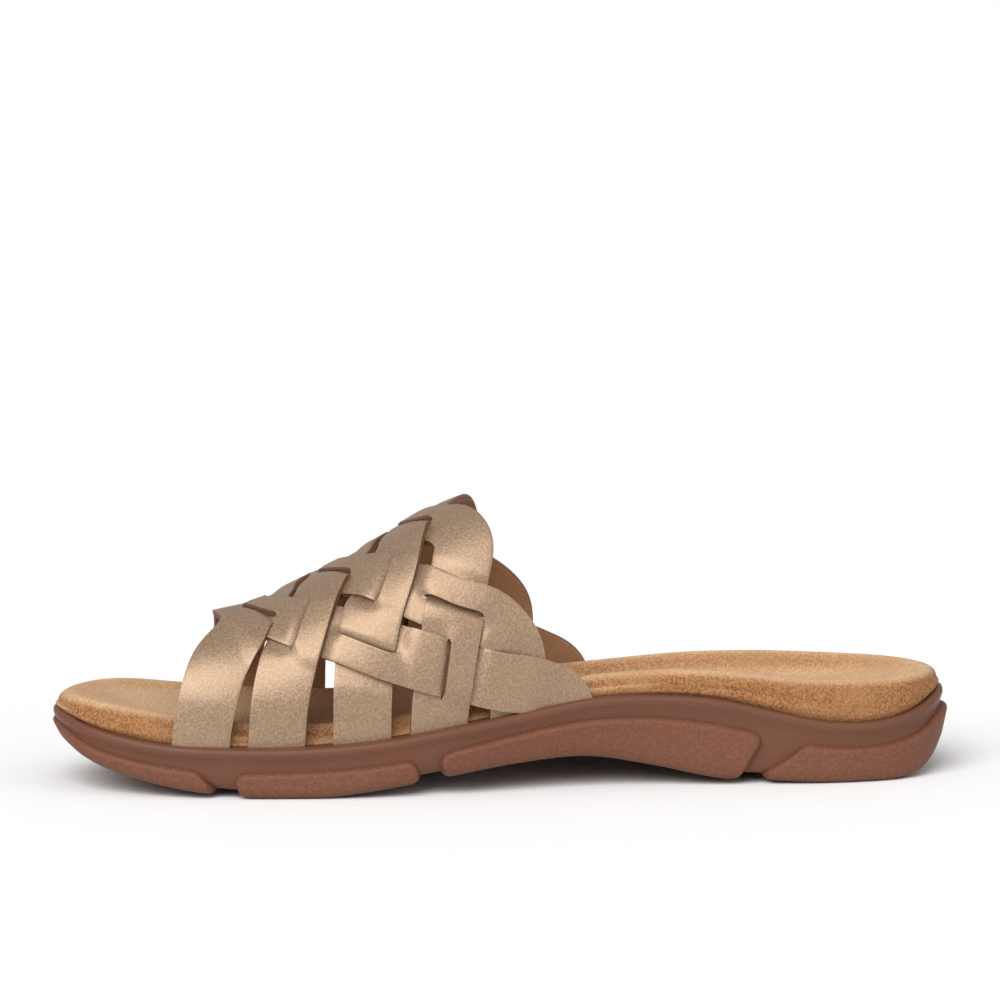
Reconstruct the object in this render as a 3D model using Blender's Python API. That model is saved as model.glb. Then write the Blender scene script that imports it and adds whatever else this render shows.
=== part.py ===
"""Woven slide sandal, right shoe. Toe at -X, heel at +X, medial side at -Y, floor at z = 0.

Every part is worked out from the named sizes below. The tables hold shares of those sizes, one
row per section, and a share along the shoe runs from 0 at the toe to 1 at the heel.
"""

import math

import bmesh
import bpy
import numpy as np

# Driving sizes, in metres.
LENGTH = 0.2615
BALL_WIDTH = 0.092
HEEL_HEIGHT = 0.030
INSTEP_HEIGHT = 0.080
STRAP_WIDTH = 0.0162
STRAP_THICKNESS = 0.0020
WEAVE_LIFT = 0.0008
PANEL_THICKNESS = 0.0017
GROOVE_DEPTH = 0.0018
POCKET_DEPTH = 0.0030
RECESS_DEPTH = 0.0045
CLEARANCE = 0.0003
FLOOR_GAP = 0.0005
ARCH_POWER = 2.4
RIDGE_LEAN = 0.030

# Outline of the raised side panels: share along, centre and half width as shares of BALL_WIDTH.
PLAN = np.array([
    (0.000, -0.098, 0.000),
    (0.040, -0.087, 0.239),
    (0.100, -0.065, 0.348),
    (0.180, -0.038, 0.429),
    (0.280, -0.005, 0.484),
    (0.360, 0.011, 0.500),
    (0.450, 0.030, 0.489),
    (0.550, 0.043, 0.440),
    (0.650, 0.038, 0.391),
    (0.750, 0.022, 0.364),
    (0.850, 0.009, 0.348),
    (0.930, 0.002, 0.293),
    (1.000, 0.000, 0.000),
])

# Heights at the medial edge, as shares of HEEL_HEIGHT:
# share along, tread, panel top, rubber lip, footbed rim.
MEDIAL = np.array([
    (0.000, 0.410, 0.570, 0.745, 0.880),
    (0.030, 0.300, 0.465, 0.655, 0.865),
    (0.080, 0.175, 0.365, 0.555, 0.825),
    (0.130, 0.085, 0.297, 0.495, 0.787),
    (0.200, 0.010, 0.247, 0.472, 0.745),
    (0.225, 0.000, 0.249, 0.471, 0.738),
    (0.300, 0.000, 0.268, 0.488, 0.742),
    (0.360, 0.062, 0.310, 0.533, 0.785),
    (0.440, 0.170, 0.430, 0.640, 0.880),
    (0.520, 0.262, 0.567, 0.755, 0.993),
    (0.590, 0.293, 0.660, 0.860, 1.087),
    (0.660, 0.190, 0.663, 0.873, 1.113),
    (0.730, 0.060, 0.587, 0.825, 1.080),
    (0.800, 0.022, 0.440, 0.687, 1.013),
    (0.850, 0.000, 0.358, 0.598, 0.980),
    (0.930, 0.000, 0.362, 0.600, 0.973),
    (0.965, 0.055, 0.433, 0.667, 0.977),
    (1.000, 0.270, 0.620, 0.800, 0.983),
])

# The same heights at the lateral edge.
LATERAL = np.array([
    (0.000, 0.410, 0.570, 0.745, 0.880),
    (0.030, 0.300, 0.465, 0.655, 0.877),
    (0.080, 0.175, 0.365, 0.555, 0.855),
    (0.130, 0.085, 0.297, 0.495, 0.823),
    (0.200, 0.010, 0.247, 0.472, 0.777),
    (0.225, 0.000, 0.247, 0.471, 0.760),
    (0.300, 0.000, 0.256, 0.480, 0.741),
    (0.360, 0.010, 0.267, 0.507, 0.747),
    (0.440, 0.050, 0.317, 0.567, 0.797),
    (0.520, 0.107, 0.400, 0.653, 0.860),
    (0.590, 0.133, 0.467, 0.727, 0.913),
    (0.660, 0.107, 0.487, 0.760, 0.953),
    (0.730, 0.040, 0.467, 0.747, 0.980),
    (0.800, 0.020, 0.407, 0.667, 0.983),
    (0.850, 0.000, 0.358, 0.598, 0.976),
    (0.930, 0.000, 0.362, 0.600, 0.973),
    (0.965, 0.055, 0.433, 0.667, 0.977),
    (1.000, 0.270, 0.620, 0.800, 0.983),
])
COLUMNS = {"tread": 1, "panel top": 2, "lip": 3, "rim": 4}

# Depth of the basin below the rim, as a share of HEEL_HEIGHT: share along, near the rim, middle.
BASIN = np.array([
    (0.000, 0.050, 0.060),
    (0.050, 0.090, 0.110),
    (0.150, 0.100, 0.090),
    (0.300, 0.080, 0.050),
    (0.450, 0.110, 0.090),
    (0.600, 0.170, 0.200),
    (0.750, 0.190, 0.270),
    (0.880, 0.170, 0.270),
    (0.960, 0.120, 0.180),
    (1.000, 0.070, 0.090),
])

# The footbed's edge, as shares of BALL_WIDTH: share along, distance from the panel outline in to
# the recess wall, how far the suede wall swells out over the lip, how far it leans in to the rim.
EDGE = np.array([
    (0.000, 0.036, 0.010, 0.002),
    (0.060, 0.040, 0.008, 0.002),
    (0.125, 0.061, 0.000, 0.012),
    (0.620, 0.061, 0.000, 0.012),
    (0.700, 0.048, 0.006, 0.004),
    (1.000, 0.040, 0.008, 0.002),
])

# Grooves between the side panels, as shares along: front at tread, front at panel top,
# back at tread, back at panel top.
GROOVES = (
    (0.180, 0.166, 0.204, 0.200),
    (0.405, 0.399, 0.428, 0.425),
    (0.757, 0.781, 0.779, 0.821),
)
GROOVE_ROUND = 0.004
STEPS_BETWEEN_GROOVES = (9, 5, 8, 11)

# Closed tread grooves under the sole: share along, length as a share of BALL_WIDTH.
TREAD_GROOVES = (
    (0.110, 0.36),
    (0.140, 0.44),
    (0.225, 0.62),
    (0.255, 0.66),
    (0.285, 0.68),
    (0.315, 0.70),
    (0.345, 0.70),
    (0.375, 0.70),
    (0.790, 0.44),
    (0.820, 0.44),
    (0.850, 0.44),
    (0.880, 0.42),
    (0.910, 0.38),
)
TREAD_GROOVE_WIDTH = 0.0026
TREAD_GROOVE_DEPTH = 0.0016

# Top of the last under the straps: share along, share of INSTEP_HEIGHT.
INSTEP = np.array([
    (0.080, 0.485),
    (0.180, 0.558),
    (0.240, 0.596),
    (0.310, 0.702),
    (0.370, 0.802),
    (0.430, 0.920),
    (0.500, 1.008),
    (0.640, 1.100),
])

# Middle of each strip: share along, share of girth from -1 at the medial foot through 0 on the
# ridge to +1 at the lateral foot. N strips start on the medial side and F strips on the lateral
# side, and 1 is the front one.
PATHS = {
    "N1": (
        (0.165, -1.020),
        (0.168, -0.850),
        (0.175, -0.690),
        (0.187, -0.520),
        (0.211, -0.340),
        (0.238, -0.080),
        (0.266, 0.200),
        (0.309, 0.430),
        (0.362, 0.580),
        (0.431, 0.735),
        (0.499, 0.840),
        (0.546, 0.890),
        (0.574, 0.945),
        (0.585, 1.020),
    ),
    "N2": (
        (0.246, -1.020),
        (0.248, -0.900),
        (0.252, -0.730),
        (0.260, -0.590),
        (0.275, -0.430),
        (0.300, -0.210),
        (0.328, -0.010),
        (0.366, 0.230),
        (0.394, 0.370),
        (0.440, 0.510),
        (0.488, 0.600),
        (0.512, 0.690),
        (0.516, 0.830),
        (0.516, 1.020),
    ),
    "N3": (
        (0.340, -1.020),
        (0.340, -0.900),
        (0.341, -0.750),
        (0.345, -0.600),
        (0.355, -0.460),
        (0.378, -0.280),
        (0.407, -0.020),
        (0.438, 0.140),
        (0.452, 0.290),
        (0.449, 0.430),
        (0.443, 0.550),
        (0.437, 0.700),
        (0.431, 0.860),
        (0.429, 1.020),
    ),
    "F1": (
        (0.202, 1.020),
        (0.205, 0.850),
        (0.211, 0.690),
        (0.217, 0.520),
        (0.217, 0.330),
        (0.215, 0.130),
        (0.221, -0.050),
        (0.236, -0.190),
        (0.262, -0.320),
        (0.307, -0.460),
        (0.360, -0.595),
        (0.428, -0.738),
        (0.488, -0.832),
        (0.530, -0.882),
        (0.556, -0.938),
        (0.566, -1.020),
    ),
    "F2": (
        (0.280, 1.020),
        (0.281, 0.850),
        (0.283, 0.690),
        (0.285, 0.520),
        (0.289, 0.330),
        (0.298, 0.130),
        (0.313, -0.050),
        (0.335, -0.185),
        (0.362, -0.285),
        (0.392, -0.395),
        (0.437, -0.525),
        (0.484, -0.620),
        (0.506, -0.730),
        (0.509, -0.880),
        (0.509, -1.020),
    ),
    "F3": (
        (0.366, 1.020),
        (0.366, 0.850),
        (0.368, 0.690),
        (0.372, 0.520),
        (0.380, 0.330),
        (0.392, 0.120),
        (0.412, -0.060),
        (0.438, -0.170),
        (0.455, -0.300),
        (0.448, -0.430),
        (0.441, -0.550),
        (0.432, -0.700),
        (0.425, -0.860),
        (0.422, -1.020),
    ),
}

# The weave: passing strip, strip that it crosses, and how. 1: over the first half, then down
# through a slit. -1: under, then up through it. 0: over all of it, with no slit.
WEAVE = (
    ("N1", "F1", 1),
    ("N2", "F2", 1),
    ("N3", "F3", 1),
    ("F1", "N2", 1),
    ("N1", "F2", 1),
    ("F2", "N3", 1),
    ("N2", "F3", 1),
    ("N3", "F1", -1),
    ("F3", "N1", -1),
    ("F3", "F2", -1),
    ("N3", "N2", -1),
    ("F1", "F3", 1),
    ("N1", "N3", 1),
    ("F1", "F2", 0),
    ("N1", "N2", 0),
)
STRIPS = ("N1", "N2", "N3", "F1", "F2", "F3")
ACROSS = (-1.0, -0.4, 0.0, 0.4, 1.0)
STATION_STEP = 0.0055
FOOT_LIFT = {1: -0.55, 2: -1.0, 3: -1.0}
POCKET_REACH = {1: 0.034, 2: 0.012, 3: 0.010}


def curve(table, column, at):
    """A smooth curve through one column of a table."""
    xs = table[:, 0]
    ys = table[:, column]
    step = np.diff(xs)
    slope = np.diff(ys) / step
    tangent = np.empty_like(ys)
    tangent[1:-1] = (slope[:-1] * step[1:] + slope[1:] * step[:-1]) / (step[:-1] + step[1:])
    tangent[0] = slope[0]
    tangent[-1] = slope[-1]
    at = np.asarray(at, float)
    i = np.clip(np.searchsorted(xs, at, side="right") - 1, 0, len(xs) - 2)
    t = (at - xs[i]) / step[i]
    left = ys[i] * (1 + 2 * t) * (1 - t) ** 2 + tangent[i] * step[i] * t * (1 - t) ** 2
    right = ys[i + 1] * t * t * (3 - 2 * t) + tangent[i + 1] * step[i] * t * t * (t - 1)
    return left + right


def turn(share):
    """The share along as an angle, so that the outline closes round at both tips."""
    return np.arccos(np.clip(1 - 2 * np.asarray(share, float), -1, 1))


PLAN_BY_TURN = np.column_stack([turn(PLAN[:, 0]), PLAN[:, 1:]])


def half_width(share):
    return BALL_WIDTH * np.maximum(curve(PLAN_BY_TURN, 2, turn(share)), 0)


def plan_middle():
    """Middle of the whole outline from side to side, as a share of BALL_WIDTH."""
    share = np.linspace(0, 1, 2001)
    middle = curve(PLAN, 1, share)
    half = half_width(share) / BALL_WIDTH
    return (float(np.max(middle + half)) + float(np.min(middle - half))) / 2


PLAN_MIDDLE = plan_middle()


def centre(share):
    """The outline's centre line, moved so that the whole sole is centred on y = 0."""
    return BALL_WIDTH * (curve(PLAN, 1, share) - PLAN_MIDDLE)


def height(side, column, share):
    """Height of one edge line: side is -1 for medial and 1 for lateral."""
    table = MEDIAL if side < 0 else LATERAL
    return HEEL_HEIGHT * np.maximum(curve(table, COLUMNS[column], share), 0)


def recess_inset(share):
    return BALL_WIDTH * float(curve(EDGE, 1, share))


def outline(share, side, inset):
    """A point of the outline moved inwards at right angles to it, as x and y."""
    angle = float(turn(share))
    near = np.array([max(angle - 0.01, 0.0), min(angle + 0.01, math.pi)])
    share_near = (1 - np.cos(near)) / 2
    x = LENGTH * (share_near - 0.5)
    y = centre(share_near) + side * half_width(share_near)
    along = np.array([x[1] - x[0], y[1] - y[0]])
    if angle < 0.01:
        along = np.array([0.0, float(side)])
    if angle > math.pi - 0.01:
        along = np.array([0.0, -float(side)])
    along /= np.hypot(*along)
    inward = np.array([along[1], -along[0]]) * side
    point = np.array([LENGTH * (share - 0.5), float(centre(share) + side * half_width(share))])
    return point + inward * inset


def mesh_object(name, points, faces, material, collection):
    mesh = bpy.data.meshes.new(name)
    mesh.from_pydata([tuple(p) for p in points], [], faces)
    shape = bmesh.new()
    shape.from_mesh(mesh)
    bmesh.ops.recalc_face_normals(shape, faces=shape.faces)
    shape.to_mesh(mesh)
    shape.free()
    mesh.shade_smooth()
    mesh.materials.append(material)
    made = bpy.data.objects.new(name, mesh)
    collection.objects.link(made)
    return made


def material_of(name, colour, roughness, metallic=0.0):
    made = bpy.data.materials.new(name)
    made.use_nodes = True
    surface = made.node_tree.nodes["Principled BSDF"]
    surface.inputs["Base Color"].default_value = (*colour, 1.0)
    surface.inputs["Roughness"].default_value = roughness
    surface.inputs["Metallic"].default_value = metallic
    return made


def stations(grooved):
    """Places round the outline: share at the tread, share at the panel top, and 1 in a groove."""
    edges = [(0.0, 0.0)]
    rows = []
    for front_low, front_high, back_low, back_high in GROOVES:
        edges.append((front_low, front_high))
        edges.append((back_low, back_high))
    edges.append((1.0, 1.0))
    for n, steps in enumerate(STEPS_BETWEEN_GROOVES):
        start, end = edges[2 * n], edges[2 * n + 1]
        for k in range(steps + 1):
            pair = []
            for low, high in zip(start, end):
                angle = float(turn(low)) * (1 - k / steps) + float(turn(high)) * k / steps
                pair.append((1 - math.cos(angle)) / 2)
            rows.append((pair[0], pair[1], 0.0))
        if n < len(GROOVES):
            after = edges[2 * n + 2]
            rows.append((end[0] + GROOVE_ROUND, end[1] + GROOVE_ROUND, 1.0))
            rows.append((after[0] - GROOVE_ROUND, after[1] - GROOVE_ROUND, 1.0))
    if not grooved:
        rows = [(high, high, 0.0) for low, high, deep in rows]
    return rows


def rings_to_mesh(rows, rings, caps):
    """Points and faces of a closed body: each ring is a function of a station and a side, and each
    cap is a list of points across, worked out by a function of the two ends and the station."""
    last = len(rows) - 1
    order = [(k, -1) for k in range(last + 1)] + [(k, 1) for k in range(last - 1, 0, -1)]
    count = len(order)
    points = []
    faces = []
    for ring in rings:
        points.extend(ring(rows[k], side) for k, side in order)
    for level in range(len(rings) - 1):
        for i in range(count):
            a = level * count + i
            b = level * count + (i + 1) % count
            faces.append((a, b, b + count, a + count))
    for level, across in zip((0, len(rings) - 1), caps):
        base = level * count
        lines = [[base]]
        for k in range(1, last):
            medial = base + k
            lateral = base + count - k
            line = [medial]
            for share in across[0]:
                line.append(len(points))
                points.append(across[1](points[medial], points[lateral], share, rows[k]))
            line.append(lateral)
            lines.append(line)
        lines.append([base + last])
        for one, two in zip(lines, lines[1:]):
            if len(one) == 1:
                faces.extend((one[0], two[j], two[j + 1]) for j in range(len(two) - 1))
            elif len(two) == 1:
                faces.extend((one[j + 1], one[j], two[0]) for j in range(len(one) - 1))
            else:
                for j in range(len(one) - 1):
                    faces.append((one[j], one[j + 1], two[j + 1], two[j]))
    return points, faces


def straight(medial, lateral, share, row):
    return tuple(m + (n - m) * share for m, n in zip(medial, lateral))


def outsole_rings():
    """The unit sole from the middle of the tread, round the edge, up the band, over the lip and
    down into the recess for the footbed."""
    def low(inset, lift):
        def ring(row, side):
            share, _, deep = row
            xy = outline(share, side, inset + deep * PANEL_THICKNESS)
            return (*xy, float(height(side, "tread", share)) + lift + deep * GROOVE_DEPTH)
        return ring

    def panel(inset, part, drop):
        def ring(row, side):
            share = row[0] + (row[1] - row[0]) * part
            xy = outline(share, side, inset + row[2] * (PANEL_THICKNESS - inset))
            low_z = float(height(side, "tread", share))
            high_z = float(height(side, "panel top", share))
            return (*xy, low_z + (high_z - low_z) * part - drop)
        return ring

    def band(inset, drop):
        def ring(row, side):
            xy = outline(row[1], side, inset)
            return (*xy, float(height(side, "lip", row[1])) - drop)
        return ring

    def recess(more, drop):
        def ring(row, side):
            xy = outline(row[1], side, recess_inset(row[1]) + more)
            return (*xy, float(height(side, "lip", row[1])) - drop)
        return ring

    return [
        low(0.0090, 0.0),
        low(0.0034, 0.0),
        low(0.0014, 0.0003),
        low(0.0004, 0.0013),
        panel(0.0, 0.22, 0.0),
        panel(0.0, 0.60, 0.0),
        panel(0.0002, 1.0, 0.0012),
        panel(0.0009, 1.0, 0.0003),
        panel(PANEL_THICKNESS, 1.0, 0.0),
        band(PANEL_THICKNESS + 0.0002, 0.0024),
        band(PANEL_THICKNESS + 0.0004, 0.0009),
        band(PANEL_THICKNESS + 0.0010, 0.0002),
        band(PANEL_THICKNESS + 0.0016, 0.0),
        recess(0.0, 0.0001),
        recess(0.0, RECESS_DEPTH),
        recess(0.0080, RECESS_DEPTH),
    ]


def footbed_rings():
    """The footbed from its underside up the suede wall, over the rim and into the basin."""
    def wall(more, lift):
        def ring(row, side):
            xy = outline(row[1], side, recess_inset(row[1]) + CLEARANCE + more)
            floor = float(height(side, "lip", row[1])) - RECESS_DEPTH + FLOOR_GAP
            return (*xy, floor + lift)
        return ring

    def side_wall(part, swell, lean):
        def ring(row, side):
            inset = recess_inset(row[1]) + CLEARANCE
            inset += BALL_WIDTH * float(curve(EDGE, 3, row[1]) * lean - curve(EDGE, 2, row[1]) * swell)
            low = float(height(side, "lip", row[1])) + FLOOR_GAP
            high = float(height(side, "rim", row[1])) - 0.0020
            return (*outline(row[1], side, inset), low + (high - low) * part)
        return ring

    def rim(more, drop):
        def ring(row, side):
            inset = recess_inset(row[1]) + CLEARANCE + more
            inset += BALL_WIDTH * float(curve(EDGE, 3, row[1]) - curve(EDGE, 2, row[1]))
            return (*outline(row[1], side, inset), float(height(side, "rim", row[1])) - drop)
        return ring

    def basin(more, part):
        def ring(row, side):
            inset = recess_inset(row[1]) + CLEARANCE + more
            inset += BALL_WIDTH * float(curve(EDGE, 3, row[1]) - curve(EDGE, 2, row[1]))
            xy = outline(row[1], side, inset)
            drop = HEEL_HEIGHT * float(curve(BASIN, 1, row[1])) * part
            return (*xy, float(height(side, "rim", row[1])) - drop)
        return ring

    return [
        wall(0.0080, 0.0),
        wall(0.0006, 0.0),
        wall(0.0, 0.0006),
        side_wall(0.0, 0.0, 0.0),
        side_wall(0.3, 1.0, 0.3),
        side_wall(1.0, 1.0, 1.0),
        rim(0.0005, 0.0008),
        rim(0.0014, 0.0001),
        rim(0.0028, 0.0002),
        basin(0.0050, 0.35),
        basin(0.0085, 0.85),
        basin(0.0125, 1.0),
    ]


def basin_cap(medial, lateral, share, row):
    """The middle of the basin, which sinks or swells between its two edges."""
    more = HEEL_HEIGHT * float(curve(BASIN, 2, row[1]) - curve(BASIN, 1, row[1]))
    x, y, z = straight(medial, lateral, share, row)
    return (x, y, z - more * math.sin(math.pi * share))


class Last:
    """The form under the straps: one arched section per share along, held as a fine grid."""

    def __init__(self):
        self.shares = np.linspace(0.09, 0.64, 89)
        self.girths = np.linspace(-1, 1, 81)
        self.points = np.zeros((len(self.shares), len(self.girths), 3))
        self.arcs = np.zeros((len(self.shares), 2))
        angle = np.linspace(-math.pi / 2, math.pi / 2, 121)
        out = np.sign(np.sin(angle)) * np.abs(np.sin(angle)) ** (2 / ARCH_POWER)
        rise = np.abs(np.cos(angle)) ** (2 / ARCH_POWER)
        for i, share in enumerate(self.shares):
            top = INSTEP_HEIGHT * float(curve(INSTEP, 1, share))
            feet = np.where(
                angle < 0,
                float(height(-1, "lip", share)) - POCKET_DEPTH,
                float(height(1, "lip", share)) - POCKET_DEPTH,
            )
            half = float(half_width(share)) - recess_inset(share) + CLEARANCE / 3
            feet[60] = top
            y = float(centre(share)) + half * out - RIDGE_LEAN * BALL_WIDTH * rise ** 2
            z = feet + (top - feet) * rise
            run = np.concatenate([[0], np.cumsum(np.hypot(np.diff(y), np.diff(z)))])
            ridge = run[60]
            girth = np.where(run < ridge, run / ridge - 1, (run - ridge) / (run[-1] - ridge))
            self.points[i, :, 0] = LENGTH * (share - 0.5)
            self.points[i, :, 1] = np.interp(self.girths, girth, y)
            self.points[i, :, 2] = np.interp(self.girths, girth, z)
            self.arcs[i] = (ridge, run[-1] - ridge)

    def at(self, share, girth):
        """A point of the form; beyond a foot it goes straight down."""
        row = float(np.interp(share, self.shares, np.arange(len(self.shares))))
        column = float(np.interp(girth, self.girths, np.arange(len(self.girths))))
        i = min(int(row), len(self.shares) - 2)
        j = min(int(column), len(self.girths) - 2)
        a = row - i
        b = column - j
        low = self.points[i, j] * (1 - b) + self.points[i, j + 1] * b
        high = self.points[i + 1, j] * (1 - b) + self.points[i + 1, j + 1] * b
        point = low * (1 - a) + high * a
        point[0] = LENGTH * (share - 0.5)
        beyond = max(abs(girth) - 1, 0)
        point[2] -= beyond * self.arcs[i, 0 if girth < 0 else 1]
        return point

    def frame(self, share, girth):
        """The two directions on the form per unit of share and girth, and the outward normal."""
        girth = min(max(girth, -0.98), 0.98)
        by_share = (self.at(share + 0.006, girth) - self.at(share - 0.006, girth)) / 0.012
        by_girth = (self.at(share, girth + 0.02) - self.at(share, girth - 0.02)) / 0.04
        normal = np.cross(by_share, by_girth)
        return by_share, by_girth, normal / np.linalg.norm(normal)

    def move(self, share, girth, step):
        """The place that is one small step away along the form."""
        by_share, by_girth, _ = self.frame(share, girth)
        base = np.column_stack([by_share, by_girth])
        change = np.linalg.lstsq(base, step, rcond=None)[0]
        return share + change[0], girth + change[1]


def smooth(knots, at):
    """A value between knots, eased at each of them."""
    for (x0, y0), (x1, y1) in zip(knots, knots[1:]):
        if x0 <= at <= x1:
            t = (at - x0) / (x1 - x0)
            return y0 + (y1 - y0) * t * t * (3 - 2 * t)
    return knots[0][1] if at < knots[0][0] else knots[-1][1]


class Strip:
    """One leather strip: its middle line on the last, and how it rises and dips in the weave."""

    def __init__(self, name, last):
        self.name = name
        self.last = last
        self.kind = int(name[1])
        path = np.array(PATHS[name])
        chord = [last.at(*place) for place in path]
        runs = np.concatenate([[0], np.cumsum(np.linalg.norm(np.diff(chord, axis=0), axis=1))])
        table = np.column_stack([runs, path])
        fine = np.linspace(0, runs[-1], 240)
        self.places = np.column_stack([curve(table, 1, fine), curve(table, 2, fine)])
        self.line = np.array([last.at(*place) for place in self.places])
        steps = np.linalg.norm(np.diff(self.line, axis=0), axis=1)
        self.run = np.concatenate([[0], np.cumsum(steps)])
        self.length = self.run[-1]
        self.passes = []
        self.slits = []

    def place(self, run):
        share = float(np.interp(run, self.run, self.places[:, 0]))
        girth = float(np.interp(run, self.run, self.places[:, 1]))
        return share, girth

    def heading(self, run):
        """Unit directions along and across the strip, and out of the form."""
        ahead = self.last.at(*self.place(min(run + 0.002, self.length)))
        behind = self.last.at(*self.place(max(run - 0.002, 0)))
        along = ahead - behind
        _, _, out = self.last.frame(*self.place(run))
        along -= out * np.dot(along, out)
        along /= np.linalg.norm(along)
        return along, np.cross(out, along), out

    def lift(self, run, across):
        """How far out the strip lies, from -1 under another strip to 1 over it."""
        total = 0.0
        for at, reach, way in self.passes:
            a = (run - at) / reach
            if way:
                knots = ((-0.95, 0), (-0.5, way), (-0.2, way), (0.2, -way), (0.5, -way), (0.95, 0))
                total += smooth(knots, a)
            else:
                total += smooth(((-0.95, 0), (-0.5, 1), (0.5, 1), (0.95, 0)), a)
        for at, reach, way in self.slits:
            a = abs(run - at) / reach
            amount = smooth(((0.5, 1), (0.95, 0)), a)
            if way:
                total += amount * way * smooth(((-0.4, -1), (0.4, 1)), across)
            else:
                total -= amount
        total = min(max(total, -1), 1)
        end = min(run, self.length - run)
        foot = smooth(((0.008, 1), (0.018, 0)), end)
        level = FOOT_LIFT[self.kind] if run > self.length / 2 else -1.0
        return total * (1 - foot) + level * foot


def plait(strips):
    """Writes each crossing of WEAVE into the two strips that meet there."""
    for over, under, way in WEAVE:
        one, two = strips[over], strips[under]
        gap = np.linalg.norm(one.line[:, None] - two.line[None, :], axis=2)
        i, j = np.unravel_index(int(np.argmin(gap)), gap.shape)
        along, _, _ = one.heading(one.run[i])
        other, across, _ = two.heading(two.run[j])
        reach = STRAP_WIDTH / max(abs(float(np.dot(along, across))), 0.4)
        one.passes.append((one.run[i], reach, way))
        facing = 1 if np.dot(along, across) > 0 else -1
        two.slits.append((two.run[j], reach, way * facing))


def strip_body(strip, start, end, grow, name, material, collection):
    """The strip between two distances along it, grown on all sides by the given clearance."""
    count = max(int(round((end - start) / STATION_STEP)), 2)
    points = []
    half = STRAP_WIDTH / 2 + grow
    for k in range(count + 1):
        run = start + (end - start) * k / count
        inside = min(max(run, 0.0), strip.length)
        share, girth = strip.place(inside)
        along, across, _ = strip.heading(inside)
        beyond = (run - inside) * along
        outer = []
        inner = []
        for part in ACROSS:
            here = (share, girth)
            for _ in range(2):
                here = strip.last.move(*here, across * half * part / 2)
            base = strip.last.at(*here) + beyond
            _, _, out = strip.last.frame(*here)
            middle = STRAP_THICKNESS / 2 + WEAVE_LIFT * (1 + strip.lift(inside, part))
            outer.append(base + out * (middle + STRAP_THICKNESS / 2 + grow))
            inner.append(base + out * (middle - STRAP_THICKNESS / 2 - grow))
        points.extend(outer + inner[::-1])
    wide = 2 * len(ACROSS)
    faces = []
    for k in range(count):
        for i in range(wide):
            a = k * wide + i
            b = k * wide + (i + 1) % wide
            faces.append((a, b, b + wide, a + wide))
    for base in (0, count * wide):
        for i in range(len(ACROSS) - 1):
            ends = (base + i, base + i + 1, base + wide - 2 - i, base + wide - 1 - i)
            faces.append(ends)
    return mesh_object(name, points, faces, material, collection)


def boolean(target, other, operation):
    step = target.modifiers.new(f"{operation.lower()} {other.name}", "BOOLEAN")
    step.operation = operation
    step.solver = "EXACT"
    step.object = other


def tread_groove(share, length, number, material, collection):
    """A block that cuts one closed groove across the tread."""
    points = []
    for x in (-0.5, 0.5):
        here = share + x * TREAD_GROOVE_WIDTH / LENGTH
        middle = float(centre(here))
        for side in (-1, 1):
            y = middle + side * length * BALL_WIDTH / 2
            reach = length * BALL_WIDTH / 2 / max(float(half_width(here)), 0.001)
            low = float(height(-1, "tread", here))
            high = float(height(1, "tread", here))
            z = (low + high) / 2 + (high - low) / 2 * side * min(reach, 1)
            points.append((LENGTH * (here - 0.5), y, z - 0.004))
            points.append((LENGTH * (here - 0.5), y, z + TREAD_GROOVE_DEPTH))
    faces = [(0, 2, 3, 1), (4, 5, 7, 6), (0, 1, 5, 4), (2, 6, 7, 3), (0, 4, 6, 2), (1, 3, 7, 5)]
    return mesh_object(f"tread cutter {number}", points, faces, material, collection)


def main():
    for old in list(bpy.data.objects):
        bpy.data.objects.remove(old)
    parts = bpy.data.collections.new("Woven slide sandal")
    helpers = bpy.data.collections.new("Cutters")
    bpy.context.scene.collection.children.link(parts)
    bpy.context.scene.collection.children.link(helpers)
    rubber = material_of("rubber", (0.20, 0.095, 0.060), 0.55)
    suede = material_of("suede", (0.55, 0.34, 0.17), 0.90)
    leather = material_of("metallic leather", (0.62, 0.45, 0.32), 0.42, 0.35)

    points, faces = rings_to_mesh(
        stations(True), outsole_rings(), (((0.5,), straight), ((0.25, 0.5, 0.75), straight))
    )
    outsole = mesh_object("outsole", points, faces, rubber, parts)
    points, faces = rings_to_mesh(
        stations(False),
        footbed_rings(),
        (((0.25, 0.5, 0.75), straight), ((0.2, 0.4, 0.6, 0.8), basin_cap)),
    )
    mesh_object("footbed", points, faces, suede, parts)

    last = Last()
    strips = {name: Strip(name, last) for name in STRIPS}
    plait(strips)
    upper = None
    for name in STRIPS:
        strip = strips[name]
        home = helpers if upper else parts
        body = strip_body(strip, 0.0, strip.length, 0.0, f"strip {name}", leather, home)
        if upper:
            boolean(upper, body, "UNION")
        else:
            upper = body
            upper.name = "upper"
        for start, end, where in (
            (-CLEARANCE, 0.010, "start"),
            (strip.length - POCKET_REACH[strip.kind], strip.length + CLEARANCE, "end"),
        ):
            title = f"pocket cutter {name} {where}"
            pocket = strip_body(strip, start, end, CLEARANCE, title, rubber, helpers)
            boolean(outsole, pocket, "DIFFERENCE")
    for number, (share, length) in enumerate(TREAD_GROOVES):
        boolean(outsole, tread_groove(share, length, number, rubber, helpers), "DIFFERENCE")
    for helper in helpers.objects:
        helper.hide_render = True
        helper.display_type = "WIRE"


main()
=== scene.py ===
# %% [markdown]
# A woven slide sandal, the right shoe of a pair: a moulded rubber unit sole, a footbed wrapped in
# suede, and six metallic leather strips that pass through slits in each other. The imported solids
# are loaded first. They fix where everything is, and each piece below is made round them.

# %% Load the frame
import math

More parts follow.
